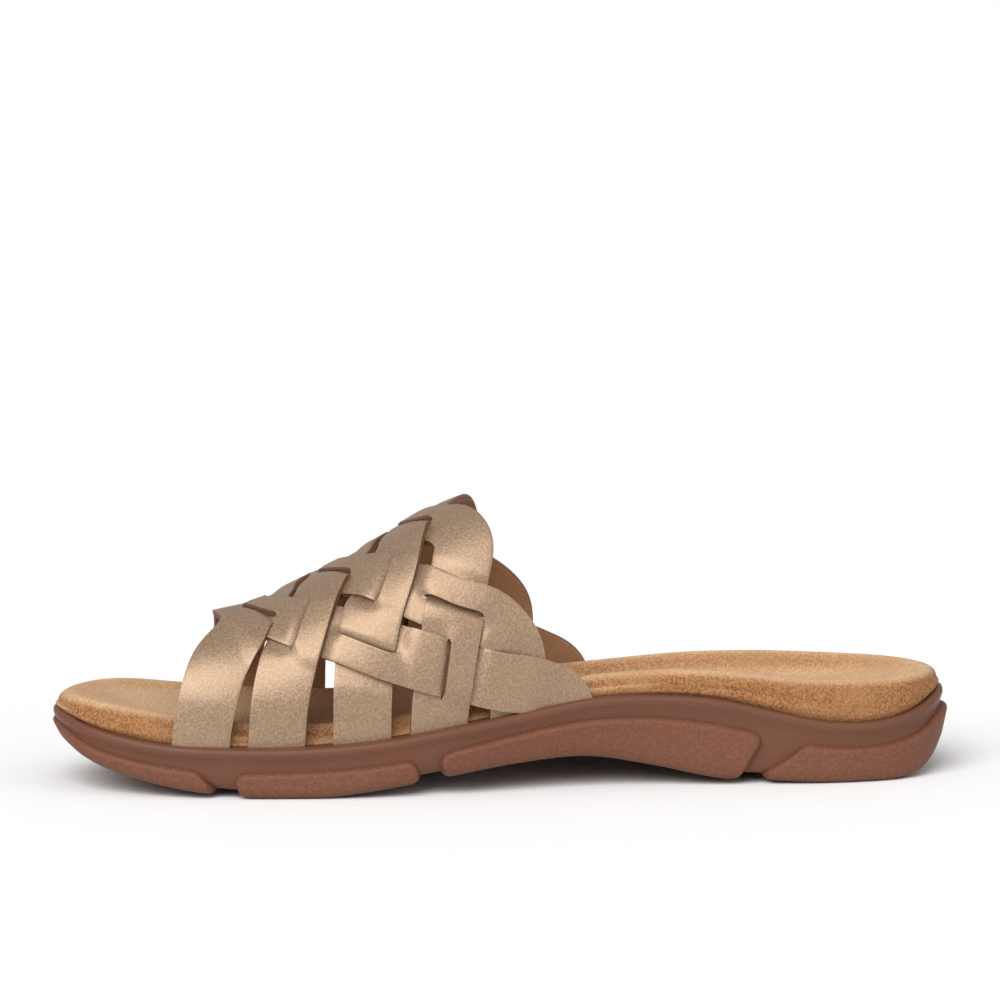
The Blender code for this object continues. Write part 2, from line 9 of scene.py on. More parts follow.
import bmesh
import bpy
import numpy as np
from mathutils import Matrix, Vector


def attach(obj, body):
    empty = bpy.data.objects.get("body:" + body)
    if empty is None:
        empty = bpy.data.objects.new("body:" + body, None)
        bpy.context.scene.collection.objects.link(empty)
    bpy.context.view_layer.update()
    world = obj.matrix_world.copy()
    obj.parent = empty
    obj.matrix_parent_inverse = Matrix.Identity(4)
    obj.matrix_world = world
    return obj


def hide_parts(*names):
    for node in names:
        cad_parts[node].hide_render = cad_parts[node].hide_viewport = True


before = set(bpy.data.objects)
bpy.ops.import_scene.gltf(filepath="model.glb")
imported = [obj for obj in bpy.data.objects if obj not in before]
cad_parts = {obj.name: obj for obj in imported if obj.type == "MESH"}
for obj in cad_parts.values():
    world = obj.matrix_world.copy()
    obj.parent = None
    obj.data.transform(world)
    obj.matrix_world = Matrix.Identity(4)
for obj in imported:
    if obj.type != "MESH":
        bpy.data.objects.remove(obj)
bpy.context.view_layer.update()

print("solids:", ", ".join(sorted(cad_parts)))

# %% [markdown]
# A shoemaker works from a few sizes and a last. The sizes and tables of the part's source are
# repeated here, because the visual model has to sit exactly where the solids are. Only the panel's
# top edge at the toe's tip is 2 mm higher here, as in the photo. A share along the shoe runs from 0
# at the toe to 1 at the heel, and the other columns are shares of a named size, so each table
# reads like a set of section cards.

# %% Sizes of the shoe, in metres
LENGTH = 0.2615
BALL_WIDTH = 0.092
HEEL_HEIGHT = 0.030
INSTEP_HEIGHT = 0.080
STRAP_WIDTH = 0.0162
STRAP_THICKNESS = 0.0020
GROOVE_DEPTH = 0.0018
POCKET_DEPTH = 0.0030
RECESS_DEPTH = 0.0045
ARCH_POWER = 2.4
RIDGE_LEAN = 0.030
MEDIAL, LATERAL = -1, 1

# %% [markdown]
# The sole's outline and its heights are read off the photo in side view, and the plan is that of
# an ordinary last. Toe spring and arch are in the tread column, which leaves the floor there.

# %% Outline and heights of the sole
# share along, centre and half width as shares of BALL_WIDTH
OUTLINE = np.array([
    (0.000, -0.098, 0.000), (0.040, -0.087, 0.239), (0.100, -0.065, 0.348),
    (0.180, -0.038, 0.429), (0.280, -0.005, 0.484), (0.360, 0.011, 0.500),
    (0.450, 0.030, 0.489), (0.550, 0.043, 0.440), (0.650, 0.038, 0.391),
    (0.750, 0.022, 0.364), (0.850, 0.009, 0.348), (0.930, 0.002, 0.293),
    (1.000, 0.000, 0.000),
])
# share along, then tread, panel top, rubber lip and footbed rim as shares of HEEL_HEIGHT
MEDIAL_SIDE = np.array([
    (0.000, 0.410, 0.635, 0.745, 0.880), (0.030, 0.300, 0.490, 0.655, 0.865),
    (0.080, 0.175, 0.365, 0.555, 0.825), (0.130, 0.085, 0.297, 0.495, 0.787),
    (0.200, 0.010, 0.247, 0.472, 0.745), (0.225, 0.000, 0.249, 0.471, 0.738),
    (0.300, 0.000, 0.268, 0.488, 0.742), (0.360, 0.062, 0.310, 0.533, 0.785),
    (0.440, 0.170, 0.430, 0.640, 0.880), (0.520, 0.262, 0.567, 0.755, 0.993),
    (0.590, 0.293, 0.660, 0.860, 1.087), (0.660, 0.190, 0.663, 0.873, 1.113),
    (0.730, 0.060, 0.587, 0.825, 1.080), (0.800, 0.022, 0.440, 0.687, 1.013),
    (0.850, 0.000, 0.358, 0.598, 0.980), (0.930, 0.000, 0.362, 0.600, 0.973),
    (0.965, 0.055, 0.433, 0.667, 0.977), (1.000, 0.270, 0.620, 0.800, 0.983),
])
LATERAL_SIDE = np.array([
    (0.000, 0.410, 0.635, 0.745, 0.880), (0.030, 0.300, 0.490, 0.655, 0.877),
    (0.080, 0.175, 0.365, 0.555, 0.855), (0.130, 0.085, 0.297, 0.495, 0.823),
    (0.200, 0.010, 0.247, 0.472, 0.777), (0.225, 0.000, 0.247, 0.471, 0.760),
    (0.300, 0.000, 0.256, 0.480, 0.741), (0.360, 0.010, 0.267, 0.507, 0.747),
    (0.440, 0.050, 0.317, 0.567, 0.797), (0.520, 0.107, 0.400, 0.653, 0.860),
    (0.590, 0.133, 0.467, 0.727, 0.913), (0.660, 0.107, 0.487, 0.760, 0.953),
    (0.730, 0.040, 0.467, 0.747, 0.980), (0.800, 0.020, 0.407, 0.667, 0.983),
    (0.850, 0.000, 0.358, 0.598, 0.976), (0.930, 0.000, 0.362, 0.600, 0.973),
    (0.965, 0.055, 0.433, 0.667, 0.977), (1.000, 0.270, 0.620, 0.800, 0.983),
])
# share along, depth of the basin near the rim and in the middle, as shares of HEEL_HEIGHT
BASIN = np.array([
    (0.000, 0.050, 0.060), (0.050, 0.090, 0.110), (0.150, 0.100, 0.090),
    (0.300, 0.080, 0.050), (0.450, 0.110, 0.090), (0.600, 0.170, 0.200),
    (0.750, 0.190, 0.270), (0.880, 0.170, 0.270), (0.960, 0.120, 0.180),
    (1.000, 0.070, 0.090),
])
# share along, then how far in the recess wall is, how far the suede wall swells over the lip and
# how far it leans in, as shares of BALL_WIDTH
EDGE = np.array([
    (0.000, 0.036, 0.010, 0.002), (0.060, 0.040, 0.008, 0.002), (0.125, 0.061, 0.000, 0.012),
    (0.620, 0.061, 0.000, 0.012), (0.700, 0.048, 0.006, 0.004), (1.000, 0.040, 0.008, 0.002),
])
# share along, top of the last as a share of INSTEP_HEIGHT
INSTEP = np.array([
    (0.080, 0.485), (0.180, 0.558), (0.240, 0.596), (0.310, 0.702),
    (0.370, 0.802), (0.430, 0.920), (0.500, 1.008), (0.640, 1.100),
])

# %% [markdown]
# A smooth curve runs through each column, as a flexible ruler is laid through marks. Its slope at
# each mark comes from the neighbours, so that one moved mark changes the form only near it.

# %% Smooth curves through the tables
FINE_STEPS = 2000


def through(table, column, at):
    """A smooth curve through one column of a table."""
    xs, ys = table[:, 0], table[:, column]
    step = np.diff(xs)
    slope = np.diff(ys) / step
    tangent = np.concatenate([
        slope[:1],
        (slope[:-1] * step[1:] + slope[1:] * step[:-1]) / (step[:-1] + step[1:]),
        slope[-1:],
    ])
    at = np.asarray(at, float)
    i = np.clip(np.searchsorted(xs, at, side="right") - 1, 0, len(xs) - 2)
    t = (at - xs[i]) / step[i]
    left = ys[i] * (1 + 2 * t) * (1 - t) ** 2 + tangent[i] * step[i] * t * (1 - t) ** 2
    return left + ys[i + 1] * t * t * (3 - 2 * t) + tangent[i + 1] * step[i] * t * t * (t - 1)


def turn(share):
    """The share along as an angle, so that the outline closes round at both tips."""
    return np.arccos(np.clip(1 - 2 * np.asarray(share, float), -1, 1))


by_share = np.linspace(0, 1, FINE_STEPS + 1)
outline_by_turn = np.column_stack([turn(OUTLINE[:, 0]), OUTLINE[:, 1:]])
centre_share = through(OUTLINE, 1, by_share)
half_share = np.maximum(through(outline_by_turn, 2, turn(by_share)), 0)
# the whole sole is centred from side to side
middle = (np.max(centre_share + half_share) + np.min(centre_share - half_share)) / 2
CARD = {
    "centre": BALL_WIDTH * (centre_share - middle),
    "half": BALL_WIDTH * half_share,
    "rim basin": HEEL_HEIGHT * through(BASIN, 1, by_share),
    "middle basin": HEEL_HEIGHT * through(BASIN, 2, by_share),
    "recess": BALL_WIDTH * through(EDGE, 1, by_share),
    "swell": BALL_WIDTH * through(EDGE, 2, by_share),
    "lean": BALL_WIDTH * through(EDGE, 3, by_share),
    "instep": INSTEP_HEIGHT * through(INSTEP, 1, np.clip(by_share, 0.08, 0.64)),
}
for side, table in ((MEDIAL, MEDIAL_SIDE), (LATERAL, LATERAL_SIDE)):
    for column, edge in enumerate(("tread", "panel", "lip", "rim"), start=1):
        CARD[edge, side] = HEEL_HEIGHT * np.maximum(through(table, column, by_share), 0)


def card(name, share):
    """One value of the section cards at a share along the shoe."""
    place = min(max(share, 0.0), 1.0) * FINE_STEPS
    i = min(int(place), FINE_STEPS - 1)
    values = CARD[name]
    return float(values[i] + (values[i + 1] - values[i]) * (place - i))


widest = float(by_share[np.argmax(CARD["half"])])
print(f"widest at {widest:.2f} of the length: {2 * max(CARD['half']) * 1000:.1f} mm")

# %% [markdown]
# The outline is walked at right angles to itself, as a pattern cutter adds or takes an allowance.
# That keeps the rubber wall equally thick round the toe and the heel.

# %% A point of the outline, moved inwards
TURN_STEP = 0.01


def outline(share, side, inset):
    """A point of the outline on one side, moved inwards at right angles to it."""
    angle = float(turn(share))
    near = np.array([max(angle - TURN_STEP, 0.0), min(angle + TURN_STEP, math.pi)])
    near_shares = (1 - np.cos(near)) / 2
    x = LENGTH * (near_shares - 0.5)
    edge = [card("centre", s) + side * rounded_half(a) for s, a in zip(near_shares, near)]
    along = np.array([x[1] - x[0], edge[1] - edge[0]])
    if angle < TURN_STEP:
        along = np.array([0.0, float(side)])
    if angle > math.pi - TURN_STEP:
        along = np.array([0.0, -float(side)])
    along /= np.hypot(*along)
    inward = np.array([along[1], -along[0]]) * side
    at = np.array([LENGTH * (share - 0.5), card("centre", share) + side * rounded_half(angle)])
    return at + inward * inset


def rounded_half(angle):
    """Half width by angle, exact near the tips, where the width changes fastest."""
    return BALL_WIDTH * float(np.maximum(through(outline_by_turn, 2, angle), 0))


# %% [markdown]
# Every large form here is a rectangular sheet that is bent into place: a grid from
# bmesh.ops.create_grid, each of whose points asks a function where it belongs. It is quick, the
# faces stay even four-sided ones, and two edges that meet are welded afterwards.

# %% Sheets bent into place
def bent_sheet(shape, columns, rows, place, finish=None):
    """Adds a grid to the bmesh and moves each of its points to place(column, row).

    finish(column, row), if there is one, gives the material of each face.
    """
    grid = bmesh.ops.create_grid(shape, x_segments=columns, y_segments=rows, size=0.5)
    if finish:
        for face in {face for point in grid["verts"] for face in point.link_faces}:
            at = face.calc_center_median()
            cell = math.floor((at.x + 0.5) * columns), math.floor((at.y + 0.5) * rows)
            face.material_index = finish(*cell)
    for point in grid["verts"]:
        column = round((point.co.x + 0.5) * columns)
        row = round((point.co.y + 0.5) * rows)
        point.co = Vector(place(column, row))
    return grid["verts"]


def object_of(shape, name):
    """Turns a bmesh into an object in the scene."""
    mesh = bpy.data.meshes.new(name)
    shape.to_mesh(mesh)
    shape.free()
    made = bpy.data.objects.new(name, mesh)
    bpy.context.scene.collection.objects.link(made)
    return made


def finished(shape, name, materials, body="root", replaced=None):
    """Turns a bmesh into a smooth-shaded object that rides on a body."""
    piece = object_of(shape, name)
    piece.data.shade_smooth()
    for material in materials:
        piece.data.materials.append(material)
    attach(piece, body)
    if replaced:
        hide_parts(replaced)
    print(f"{name}: {len(piece.data.polygons)} faces")
    return piece


def eased(knots, at):
    """A value between knots, eased at each of them."""
    for (x0, y0), (x1, y1) in zip(knots, knots[1:]):
        if x0 <= at <= x1:
            t = (at - x0) / (x1 - x0)
            return y0 + (y1 - y0) * t * t * (3 - 2 * t)
    return knots[0][1] if at < knots[0][0] else knots[-1][1]


# %% [markdown]
# Materials are graphs of nodes. To keep them readable, a small class wraps a socket, so that sums
# on sockets are written as ordinary Python expressions, and one method adds any other node.

# %% Node helpers
class Wire:
    """A socket on which Python's operators add Math nodes."""

    def __init__(self, finish, socket):
        self.finish = finish
        self.socket = socket

    def _math(self, operation, first, second):
        node = self.finish.node("ShaderNodeMath", {"operation": operation}, {0: first, 1: second})
        return Wire(self.finish, node.outputs[0])

    def __add__(self, other):
        return self._math("ADD", self, other)

    def __radd__(self, other):
        return self._math("ADD", other, self)

    def __sub__(self, other):
        return self._math("SUBTRACT", self, other)

    def __rsub__(self, other):
        return self._math("SUBTRACT", other, self)

    def __mul__(self, other):
        return self._math("MULTIPLY", self, other)

    def __rmul__(self, other):
        return self._math("MULTIPLY", other, self)


# %% A material and its nodes
class Finish:
    """One material, its shader and the nodes that feed it."""

    def __init__(self, name, **fixed):
        self.material = bpy.data.materials.new(name)
        self.material.use_nodes = True
        self.tree = self.material.node_tree
        self.shader = self.tree.nodes["Principled BSDF"]
        for socket, value in fixed.items():
            self.shader.inputs[socket.replace("_", " ")].default_value = value
        self.object_place = self.node("ShaderNodeTexCoord").outputs["Object"]

    def node(self, kind, settings=None, inputs=None):
        """A new node: its settings are made first, a ramp's stops too, and its inputs are fed."""
        made = self.tree.nodes.new(kind)
        for key, value in (settings or {}).items():
            if key == "stops":
                for element, (place, grey) in zip(made.color_ramp.elements, value):
                    element.position = place
                    element.color = (grey, grey, grey, 1.0)
            else:
                setattr(made, key, value)
        for key, value in (inputs or {}).items():
            self.feed(made.inputs[key], value)
        return made

    def surface(self, colour, roughness, normal):
        """Feeds the shader, and gives the finished material."""
        for socket, value in (
            ("Base Color", colour), ("Roughness", roughness), ("Normal", normal)
        ):
            self.feed(self.shader.inputs[socket], value)
        return self.material

    def feed(self, socket, value):
        """Links a wire or socket to a socket, or sets its value."""
        if isinstance(value, Wire):
            value = value.socket
        if isinstance(value, bpy.types.NodeSocket):
            self.tree.links.new(value, socket)
        else:
            socket.default_value = value

    def grain(self, size, detail=2.0, rough=0.5):
        """Soft noise whose spots are about size metres across, from 0 to 1."""
        made = self.node("ShaderNodeTexNoise", None, {
            "Vector": self.object_place, "Scale": 1 / size, "Detail": detail, "Roughness": rough,
        })
        return Wire(self, made.outputs["Fac"])

    def cells(self, size):
        """Softened distance to the nearest of many points, about size metres apart."""
        made = self.node("ShaderNodeTexVoronoi", {"feature": "SMOOTH_F1"}, {
            "Vector": self.object_place, "Scale": 1 / size,
        })
        return Wire(self, made.outputs["Distance"])

    def ramp(self, value, *stops):
        """Turns a value into greys between two stops, each a place and a grey."""
        return self.node("ShaderNodeValToRGB", {"stops": stops}, {"Fac": value}).outputs["Color"]

    def blend(self, amount, first, second):
        """The first colour at 0 and the second at 1."""
        made = self.node("ShaderNodeMix", {"data_type": "RGBA"})
        self.feed(made.inputs[0], amount)
        for socket, value in ((made.inputs[6], first), (made.inputs[7], second)):
            self.feed(socket, (*value, 1.0) if isinstance(value, tuple) else value)
        return made.outputs[2]

    def bump(self, height, distance, strength, under=None):
        """A normal from a height, on top of the normal under it."""
        inputs = {"Height": height, "Distance": distance, "Strength": strength}
        if under:
            inputs["Normal"] = under
        return self.node("ShaderNodeBump", None, inputs).outputs["Normal"]

    def attribute(self, name):
        """A value that the mesh holds at each point."""
        return Wire(self, self.node("ShaderNodeAttribute", {"attribute_name": name}).outputs["Fac"])


# %% [markdown]
# The rubber is one moulding in two textures. The band and its lip are smooth with a soft shine,
# and the raised panels are finely pitted, so they scatter the light and look a little lighter.

# %% Rubber
def rubber_finish(name, colour, dark, pale, fleck, roughness, pit_size, pit_depth):
    finish = Finish(name, IOR=1.5, Specular_IOR_Level=0.28)
    cloud = finish.grain(0.030, 3.0)
    colours = finish.blend(cloud, dark, colour)
    speck = finish.grain(0.0010, 3.0, 0.6)
    colours = finish.blend(finish.ramp(speck, (0.45, 0.0), (0.70, fleck)), colours, pale)
    pits = finish.grain(pit_size, 2.0, 0.55)
    waves = finish.grain(0.006, 2.0)
    normal = finish.bump(waves, 0.0004, 0.25)
    normal = finish.bump(pits, pit_depth, 0.6, normal)
    return finish.surface(colours, roughness + (speck - 0.5) * 0.16, normal)


band_rubber = rubber_finish(
    "band rubber", (0.152, 0.058, 0.031), (0.120, 0.046, 0.025), (0.200, 0.085, 0.050), 0.20,
    0.46, 0.0016, 0.00010,
)
panel_rubber = rubber_finish(
    "panel rubber", (0.172, 0.064, 0.033), (0.138, 0.050, 0.026), (0.260, 0.115, 0.068), 0.40,
    0.60, 0.0010, 0.00045,
)

# %% [markdown]
# Suede is leather with its fibres raised. Up close it is a fine mottle of light and dark fibre
# ends, over broad soft patches where the nap lies another way. The wrapped side is coarser and
# more orange than the top, where the foot treads. One material covers both, and a point attribute
# says how far a point faces up, so the two tones run into each other over the soft rim. Under the
# strips that attribute is lowered as painted shade, so the top turns darker and more orange there.

# %% Suede
def suede_finish():
    finish = Finish("suede", Sheen_Weight=0.06, Sheen_Roughness=0.5, Specular_IOR_Level=0.12)
    # how far a point faces up, lowered under the strips as painted shade
    top_tone_with_painted_shade = finish.attribute("top_tone_with_painted_shade")
    fibres = finish.ramp(finish.grain(0.0007, 4.0, 0.65), (0.40, 0.0), (0.60, 1.0))
    side = finish.blend(fibres, (0.200, 0.078, 0.028), (0.400, 0.188, 0.078))
    top = finish.blend(fibres, (0.500, 0.300, 0.158), (0.680, 0.450, 0.268))
    patches = finish.grain(0.022, 3.0, 0.55)
    worn = finish.ramp(patches, (0.42, 0.0), (0.66, 0.40))
    colour = finish.blend(worn, finish.blend(top_tone_with_painted_shade, side, top), (0.430, 0.235, 0.110))
    nap = finish.grain(0.0007, 3.0, 0.6)
    tufts = finish.grain(0.0030, 2.0)
    normal = finish.bump(tufts, 0.0007, 0.40)
    normal = finish.bump(nap, 0.0005, 0.7, normal)
    return finish.surface(colour, 0.88 + (patches - 0.5) * 0.12, normal)


suede = suede_finish()

# %% [markdown]
# The strips are foiled leather: a champagne metal film over a very fine grain. Such a film is
# partly metallic in the shader's sense, and it is dulled and darkened a little in soft random
# patches.
# The lining is plain brown leather, and the cut edges are darker, as burnished ones are.

# %% Leather
def foil_finish():
    finish = Finish("champagne leather", Metallic=0.50, IOR=1.5)
    cloud = finish.grain(0.012, 3.0, 0.55)
    pearl = finish.grain(0.0006, 2.0, 0.6)
    clouds = finish.ramp(cloud, (0.3, 0.0), (0.7, 1.0))
    colour = finish.blend(clouds, (0.278, 0.175, 0.104), (0.310, 0.200, 0.121))
    glints = finish.ramp(pearl, (0.44, 0.0), (0.62, 0.50))
    colour = finish.blend(glints, colour, (0.460, 0.340, 0.240))
    grain = finish.cells(0.00065)
    creases = finish.grain(0.0045, 3.0)
    normal = finish.bump(creases, 0.00010, 0.25)
    normal = finish.bump(grain, 0.00008, 0.50, normal)
    dullness = 0.42 + (pearl - 0.5) * 0.26 + (cloud - 0.5) * 0.06
    return finish.surface(colour, dullness, normal)


def plain_leather_finish(name, light, dark, roughness):
    finish = Finish(name, Specular_IOR_Level=0.3)
    fibres = finish.grain(0.0008, 3.0, 0.6)
    colour = finish.blend(fibres, dark, light)
    normal = finish.bump(fibres, 0.0002, 0.5)
    return finish.surface(colour, roughness + (fibres - 0.5) * 0.15, normal)


foil = foil_finish()
lining = plain_leather_finish("brown lining", (0.390, 0.208, 0.105), (0.270, 0.135, 0.062), 0.80)
cut_foil = plain_leather_finish("cut edge", (0.240, 0.126, 0.072), (0.130, 0.064, 0.036), 0.65)
cut_lining = plain_leather_finish("cut lining", (0.210, 0.105, 0.060), (0.120, 0.058, 0.032), 0.80)

# %% [markdown]
# The unit sole comes first, because all else stands on it. In life it is one moulding. Here its
# smooth body is one closed sheet that runs round the shoe: up from the underside, past the band
# and the lip, and down into the recess under the footbed. Its rows are one section card. Wherever
# the sole is off the floor its wall tucks under, in proportion to how far it is off.

# %% Section card of the body
STATION_COUNT = 100
stations = [(1 - math.cos(math.pi * k / STATION_COUNT)) / 2 for k in range(STATION_COUNT + 1)]
ROUND = 2 * STATION_COUNT
BAND_INSET = 0.0023
BAND_FOOT = 0.0018
LIP_HEIGHT = 0.0036
TUCK = 0.28
# where a row is, its inset from the outline, and a height there
BODY_ROWS = (
    ("under", 0.0160, 0.0), ("under", 0.0065, 0.0), ("under", 0.0042, 0.0002),
    ("under", 0.0030, 0.0008), ("under", 0.0025, 0.0018), ("band", BAND_INSET, 0.12),
    ("band", BAND_INSET, 0.35), ("band", BAND_INSET, 0.60), ("band", 0.0024, 0.82),
    ("lip", 0.0022, LIP_HEIGHT), ("lip", 0.0018, 0.0026), ("lip", 0.0016, 0.0018),
    ("lip", 0.0017, 0.0011), ("lip", 0.0020, 0.0005), ("lip", 0.0026, 0.0001),
    ("lip", 0.0034, 0.0), ("recess", 0.0, 0.0), ("recess", 0.0003, 0.0008),
    ("recess", 0.0004, RECESS_DEPTH),
)


# %% Points of the body
def station_and_side(column):
    """Columns run down the medial side and back up the lateral side."""
    column %= ROUND
    if column <= STATION_COUNT:
        return column, MEDIAL
    return ROUND - column, LATERAL


def tucked(share, side, z):
    """How far the wall leans in at a height: it tucks under wherever the sole is off the floor."""
    tread, top = card(("tread", side), share), card(("panel", side), share)
    return TUCK * tread * min(max((top - z) / (top - tread), 0.0), 1.0)


def body_point(station, side, row):
    """A point of the body's section card, at one station on one side."""
    share = stations[station]
    where, inset, value = BODY_ROWS[row]
    lip = card(("lip", side), share)
    if where == "lip":
        return (*outline(share, side, inset), lip - value)
    if where == "recess":
        return (*outline(share, side, card("recess", share) + inset), lip - value)
    low = card(("tread", side), share) + GROOVE_DEPTH
    z = low + value
    if where == "band":
        low += BAND_FOOT
        z = low + (lip - LIP_HEIGHT - low) * value
    return (*outline(share, side, inset + tucked(share, side, z)), z)


# %% Close and build the body
def across_sheet(shape, columns, point, row, parts=6):
    """Closes a ring of rows with a sheet from each medial point to the lateral one."""

    def place(column, part):
        near, far = Vector(point(column, MEDIAL, row)), Vector(point(column, LATERAL, row))
        return near.lerp(far, part / parts)

    bent_sheet(shape, columns, parts, place)


WELD = 0.00001


def welded(shape):
    """Closes a shell: its sheets are joined, and any end that is still open is filled."""
    bmesh.ops.remove_doubles(shape, verts=shape.verts, dist=WELD)
    bmesh.ops.holes_fill(shape, edges=[edge for edge in shape.edges if edge.is_boundary], sides=0)
    bmesh.ops.recalc_face_normals(shape, faces=shape.faces)
    return shape


def rubber_body():
    """One sheet round the shoe, closed by one underneath and one in the recess."""
    shape = bmesh.new()
    rows = len(BODY_ROWS) - 1
    bent_sheet(shape, ROUND, rows, lambda c, r: body_point(*station_and_side(c), r))
    across_sheet(shape, STATION_COUNT, body_point, 0)
    across_sheet(shape, STATION_COUNT, body_point, rows)
    return welded(shape)


finished(rubber_body(), "rubber_sole", (band_rubber,), replaced="outsole")

# %% [markdown]
# The four raised panels, each with its block of tread, are closed shells that are sunk a little
# into the body. So the band runs on unbroken between them, down to the notch at the bottom. A
# panel is rounded over along its top edge and its ends, and so is a block under the shoe.

# %% Section card of the blocks
# front of each groove at the tread and at the panel top, then its back, as shares along
GROOVES = (
    (0.180, 0.166, 0.204, 0.200),
    (0.405, 0.399, 0.428, 0.425),
    (0.757, 0.781, 0.779, 0.821),
)
EDGE_ROUND = 0.0015
CORNER = 0.0040
CORNER_DROP = 0.7
BOTTOM_CORNER = 0.0034
PANEL_SUNK = BAND_INSET + 0.0004
NOTCH_RISE = GROOVE_DEPTH + 0.0004
TIP_INSET = 0.0008
TIP_SHARE = 0.05
EDGE_HEIGHT = 0.0019
UNDER_HEIGHT = 0.0018
LEAST_ROOM = 0.0004
# rows before this one are the smooth tread, and the rest is the pitted panel
PITTED_FROM = 5
# columns beside a panel's end, by distance
EDGE_STEPS = (0.0, 0.0001, 0.0003, 0.0006, 0.0010, 0.0015, 0.0024, 0.0036)
# where a row is, its inset from the outline, and a height or share of one there
BLOCK_ROWS = (
    ("under", 0.0160, 0.0), ("under", 0.0080, 0.0), ("under", 0.0036, 0.0),
    ("under", 0.0026, 0.0001), ("under", 0.0016, 0.0004), ("under", 0.0008, 0.0010),
    ("under", 0.0003, UNDER_HEIGHT),
    *(("side", 0.0, up) for up in (0.25, 0.50, 0.75)),
    *(("edge", 0.0, down) for down in (EDGE_HEIGHT, 0.0015, 0.0010, 0.0006, 0.0003, 0.0001, 0.0)),
    ("inside", 0.0070, 0.0010),
)


# %% Columns of a block, closer together beside its ends
def block_columns(number):
    """Share at the tread, share at the panel top and distance to a panel's end, by column."""
    first, final = (0.0, 0.0), (1.0, 1.0)
    if number > 0:
        first = GROOVES[number - 1][2:]
    if number < len(GROOVES):
        final = GROOVES[number][:2]
    start, stop = turn(first), turn(final)
    span = float(stop[1] - start[1])
    near, far = [0.0], [1.0]
    if number > 0:
        near = [step / (LENGTH / 2 * math.sin(start[1]) * span) for step in EDGE_STEPS]
    if number < len(GROOVES):
        far = [1 - step / (LENGTH / 2 * math.sin(stop[1]) * span) for step in EDGE_STEPS]
    steps = round(span / math.pi * STATION_COUNT)
    between = [near[-1] + (far[-1] - near[-1]) * k / steps for k in range(1, steps)]
    columns = []
    for part in near + between + far[::-1]:
        low, high = (1 - np.cos(start + (stop - start) * part)) / 2
        gap = min(
            LENGTH * (high - first[1]) if number > 0 else 1.0,
            LENGTH * (final[1] - high) if number < len(GROOVES) else 1.0,
        )
        columns.append((float(low), float(high), max(float(gap), 0.0)))
    return columns


# %% Points of a block
def rounded_over(*distances):
    """From 0 at an edge to 1 on the face, along a quarter circle; a corner is rounded as well."""
    short = math.hypot(*(1 - min(distance / EDGE_ROUND, 1) for distance in distances))
    return math.sqrt(1 - min(short, 1) ** 2)


def rounded_off(distance, radius):
    """How much of a quarter circle is gone at a distance from a corner: 1 at it, 0 past it."""
    return 1 - math.sqrt(1 - max(1 - distance / radius, 0.0) ** 2)


def block_point(column, side, row):
    """A point of a block's section card, at one of its columns on one side."""
    low, high, gap = column
    where, inset, value = BLOCK_ROWS[row]
    sunk = 1 - rounded_over(gap)
    tread = card(("tread", side), low) + NOTCH_RISE * rounded_off(gap, BOTTOM_CORNER)
    tip = TIP_INSET * max(1 - low / TIP_SHARE, 0.0)
    top = card(("panel", side), high) - CORNER * CORNER_DROP * rounded_off(gap, CORNER)
    if where == "under":
        # a panel's end is one slanted line down to the tread
        share = low + (high - low) * value / max(top - tread, NOTCH_RISE)
        inset += sunk * PANEL_SUNK + tip + tucked(share, side, tread + value)
        return (*outline(share, side, inset), tread + value)
    if where == "inside":
        return (*outline(high, side, inset), top - value)
    # where a panel is low, at its rounded ends, its rows share what height there is
    room = max(top - tread - UNDER_HEIGHT, LEAST_ROOM)
    edge = min(EDGE_HEIGHT, room * 0.6)
    below = value * edge / EDGE_HEIGHT
    if where == "side":
        below = edge + (room - edge) * (1 - value)
    inset = PANEL_SUNK * (1 - rounded_over(gap, below)) + tip
    share = high + (low - high) * below / (top - tread)
    inset += tucked(share, side, top - below)
    return (*outline(share, side, inset), top - below)


# %% Build the blocks
def rubber_block(number):
    """A panel on each side and the tread between them, as one closed shell."""
    shape = bmesh.new()
    columns = block_columns(number)
    rows = len(BLOCK_ROWS) - 1

    def point(column, side, row):
        return block_point(columns[column], side, row)

    for side in (MEDIAL, LATERAL):
        bent_sheet(
            shape, len(columns) - 1, rows, lambda c, r, side=side: point(c, side, r),
            lambda c, r: 1 if r >= PITTED_FROM else 0,
        )
    across_sheet(shape, len(columns) - 1, point, 0)
    across_sheet(shape, len(columns) - 1, point, rows)
    return welded(shape)


blocks = [
    finished(
        rubber_block(number), f"rubber_panel_{number + 1}", (band_rubber, panel_rubber),
        replaced="outsole",
    )
    for number in range(len(GROOVES) + 1)
]

# %% [markdown]
# Closed grooves run across the tread under the ball and the heel. They are cut with one helper of
# many small boxes, which goes once the cut is in the meshes.

# %% Tread grooves
# share along, length as a share of BALL_WIDTH
TREAD_GROOVES = (
    (0.110, 0.36), (0.140, 0.44), (0.225, 0.62), (0.255, 0.66), (0.285, 0.68), (0.315, 0.70),
    (0.345, 0.70), (0.375, 0.70), (0.790, 0.44), (0.820, 0.44), (0.850, 0.44), (0.880, 0.42),
    (0.910, 0.38),
)
TREAD_GROOVE_WIDTH = 0.0026
TREAD_GROOVE_DEPTH = 0.0016
CUT_BELOW = -0.004


# %% Cut the tread
def tread_cutter():
    """One object with a box for each groove, slanted from side to side as the tread is."""
    shape = bmesh.new()
    for share, length in TREAD_GROOVES:
        low, high = card(("tread", MEDIAL), share), card(("tread", LATERAL), share)
        reach = min(length * BALL_WIDTH / 2 / card("half", share), 1)
        for point in bmesh.ops.create_cube(shape, size=1.0)["verts"]:
            z = (low + high) / 2 + (high - low) * point.co.y * reach
            point.co = Vector((
                LENGTH * (share - 0.5) + point.co.x * TREAD_GROOVE_WIDTH,
                card("centre", share) + point.co.y * length * BALL_WIDTH,
                z + (TREAD_GROOVE_DEPTH if point.co.z > 0 else CUT_BELOW),
            ))
    return object_of(shape, "tread cutter")


